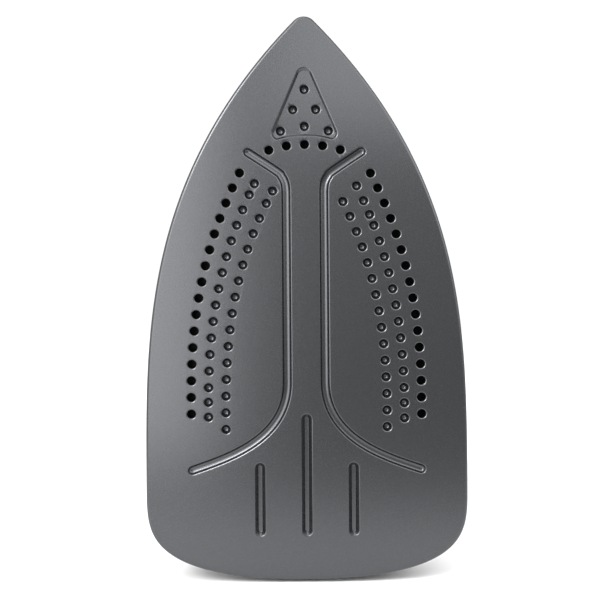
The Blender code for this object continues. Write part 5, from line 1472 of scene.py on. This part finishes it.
# %% Heel cover
HEEL_MIDDLE = 60 * MM
HEEL_FACE, HEEL_FRONT = 2.2 * MM, HULL_REAR - GAP
HEEL_SHRINK = 0.84  # the flat face as a share of the outline
heel_side = np.array(((0, 20.3), (38.0, 20.3), (42.5, 23.5), (42.5, 32.0), (40.0, 43.0), (35.0, 51.0),
                      (27.5, 59.0), (25.5, 70.0), (24.5, 83.0), (22.0, 94.0), (18.0, 102.0),
                      (10.0, 107.0), (0, 108.5))) * MM
heel_base = heel_side[:1] + (heel_side[1] - heel_side[0]) * np.linspace(0, 1, 12)[:-1, None]
heel_curve = np.concatenate([heel_base, smooth_line(heel_side[1:], 8)])


def heel_outline(share):
    """The heel's outline as (x, h), drawn in towards its middle by a share."""
    loop = np.concatenate([heel_curve, heel_curve[-2:0:-1] * (-1, 1)])
    return np.stack([loop[:, 0] * share, HEEL_MIDDLE + (loop[:, 1] - HEEL_MIDDLE) * share], -1)


def upright(h_middle=0.0):
    """A spread for stack(): the outline stands in x and h, and is carried along z."""
    def spread(x, level, h):
        return place(x, h + h_middle, level)
    return spread


quarter = np.linspace(0, np.pi / 2, 12)
heel_levels = [(0.0, HEEL_FACE), (0.5, HEEL_FACE), (0.8, HEEL_FACE)]
heel_levels += [(HEEL_SHRINK + (1 - HEEL_SHRINK) * np.sin(t) ** 0.9,
                 HEEL_FACE + (HEEL_FRONT - HEEL_FACE) * (1 - np.cos(t))) for t in quarter]
heel_levels += [(0.97, HEEL_FRONT), (0.0, HEEL_FRONT)]
heel_cover = piece("heel_cover", [stack(heel_outline, heel_levels, upright())], pbt, "iron",
                   ["rear_cover"])
even_shading(heel_cover)

# %% [markdown]
# ## Screws, feet and heel bar
#
# Two steel screws with six-lobed heads sit in pits of the heel cover. Two round rubber feet and a
# rubber bar under the sole's side stand proud of it and carry the iron. Screws and feet are turned;
# a screw's recess is the circle of its outline, swinging six times.

# %% Screws, feet and bar
SCREW_X, SCREW_H, HEAD_RADIUS, PIT_RADIUS, SHANK_BORE = 22 * MM, 45 * MM, 3.2 * MM, 3.6 * MM, 1.9 * MM
LOBES, LOBE_SWING, LOBE_INSETS = 6, 0.25 * MM, (1.2 * MM, 3.1 * MM)
FOOT_X, FOOT_H = 13 * MM, 92 * MM
BAR_H, BAR_HALF_LENGTH, BAR_HALF_DEPTH = 33.5 * MM, 18 * MM, 3.5 * MM
screw_profile = np.array(((3.2, 4.6), (1.9, 4.6), (1.7, 4.4), (1.7, 3.5), (1.55, 3.4), (0.5, 3.4), (0.1, 3.7),
                          (0, 4.1), (0, 5.2), (1.6, 5.2), (1.6, 18.0), (3.2, 18.0))) * MM  # inset and z
foot_profile = softened(((0, 0), (4.4, 0), (5.0, 0.6), (4.8, 1.9), (0, 1.9)), 0.3) * MM


def lobed(inset):
    """A circle drawn in by inset; between two insets its radius swings once for each lobe."""
    turn = np.linspace(0, 2 * np.pi, 72, endpoint=False)
    low, high = LOBE_INSETS
    swing = LOBE_SWING * np.clip(1 - inset / HEAD_RADIUS, 0, 1) * (low < inset < high)
    radius = HEAD_RADIUS - inset + swing * np.cos(LOBES * turn)
    return radius[:, None] * np.stack([np.cos(turn), np.sin(turn)], -1)


for side, name in ((-1, "left"), (1, "right")):
    x, h = side * SCREW_X, SCREW_H
    carve(heel_cover, [drill((x, h, -1 * MM), (x, h, 5.5 * MM), PIT_RADIUS),
                       drill((x, h, 5 * MM), (x, h, 20 * MM), SHANK_BORE)])
    screw_axis = on_axis(place(x, h, 0), (0, 0, 1))
    piece(f"heel_screw_{name}", [stack(lobed, screw_profile, screw_axis)], plated, "iron",
          [f"rear_screw_{name}"])
    foot_axis = on_axis(place(side * FOOT_X, FOOT_H, 0), (0, 0, 1))
    piece(f"rubber_foot_{name}", [turned(foot_profile, foot_axis, 48)], soft_touch, "iron",
          [f"heel_foot_{name}"])
bar_outline = rounded_box(BAR_HALF_LENGTH, BAR_HALF_DEPTH, 3.4 * MM)
bar_levels = [(BAR_HALF_DEPTH, 1.9 * MM), (0, 1.9 * MM), (0, 0.7 * MM), (0.2 * MM, 0.2 * MM), (0.7 * MM, 0),
              (BAR_HALF_DEPTH, 0)]
piece("heel_bar", [stack(bar_outline, bar_levels, upright(BAR_H))], soft_touch, "iron",
      ["heel_bumper"])
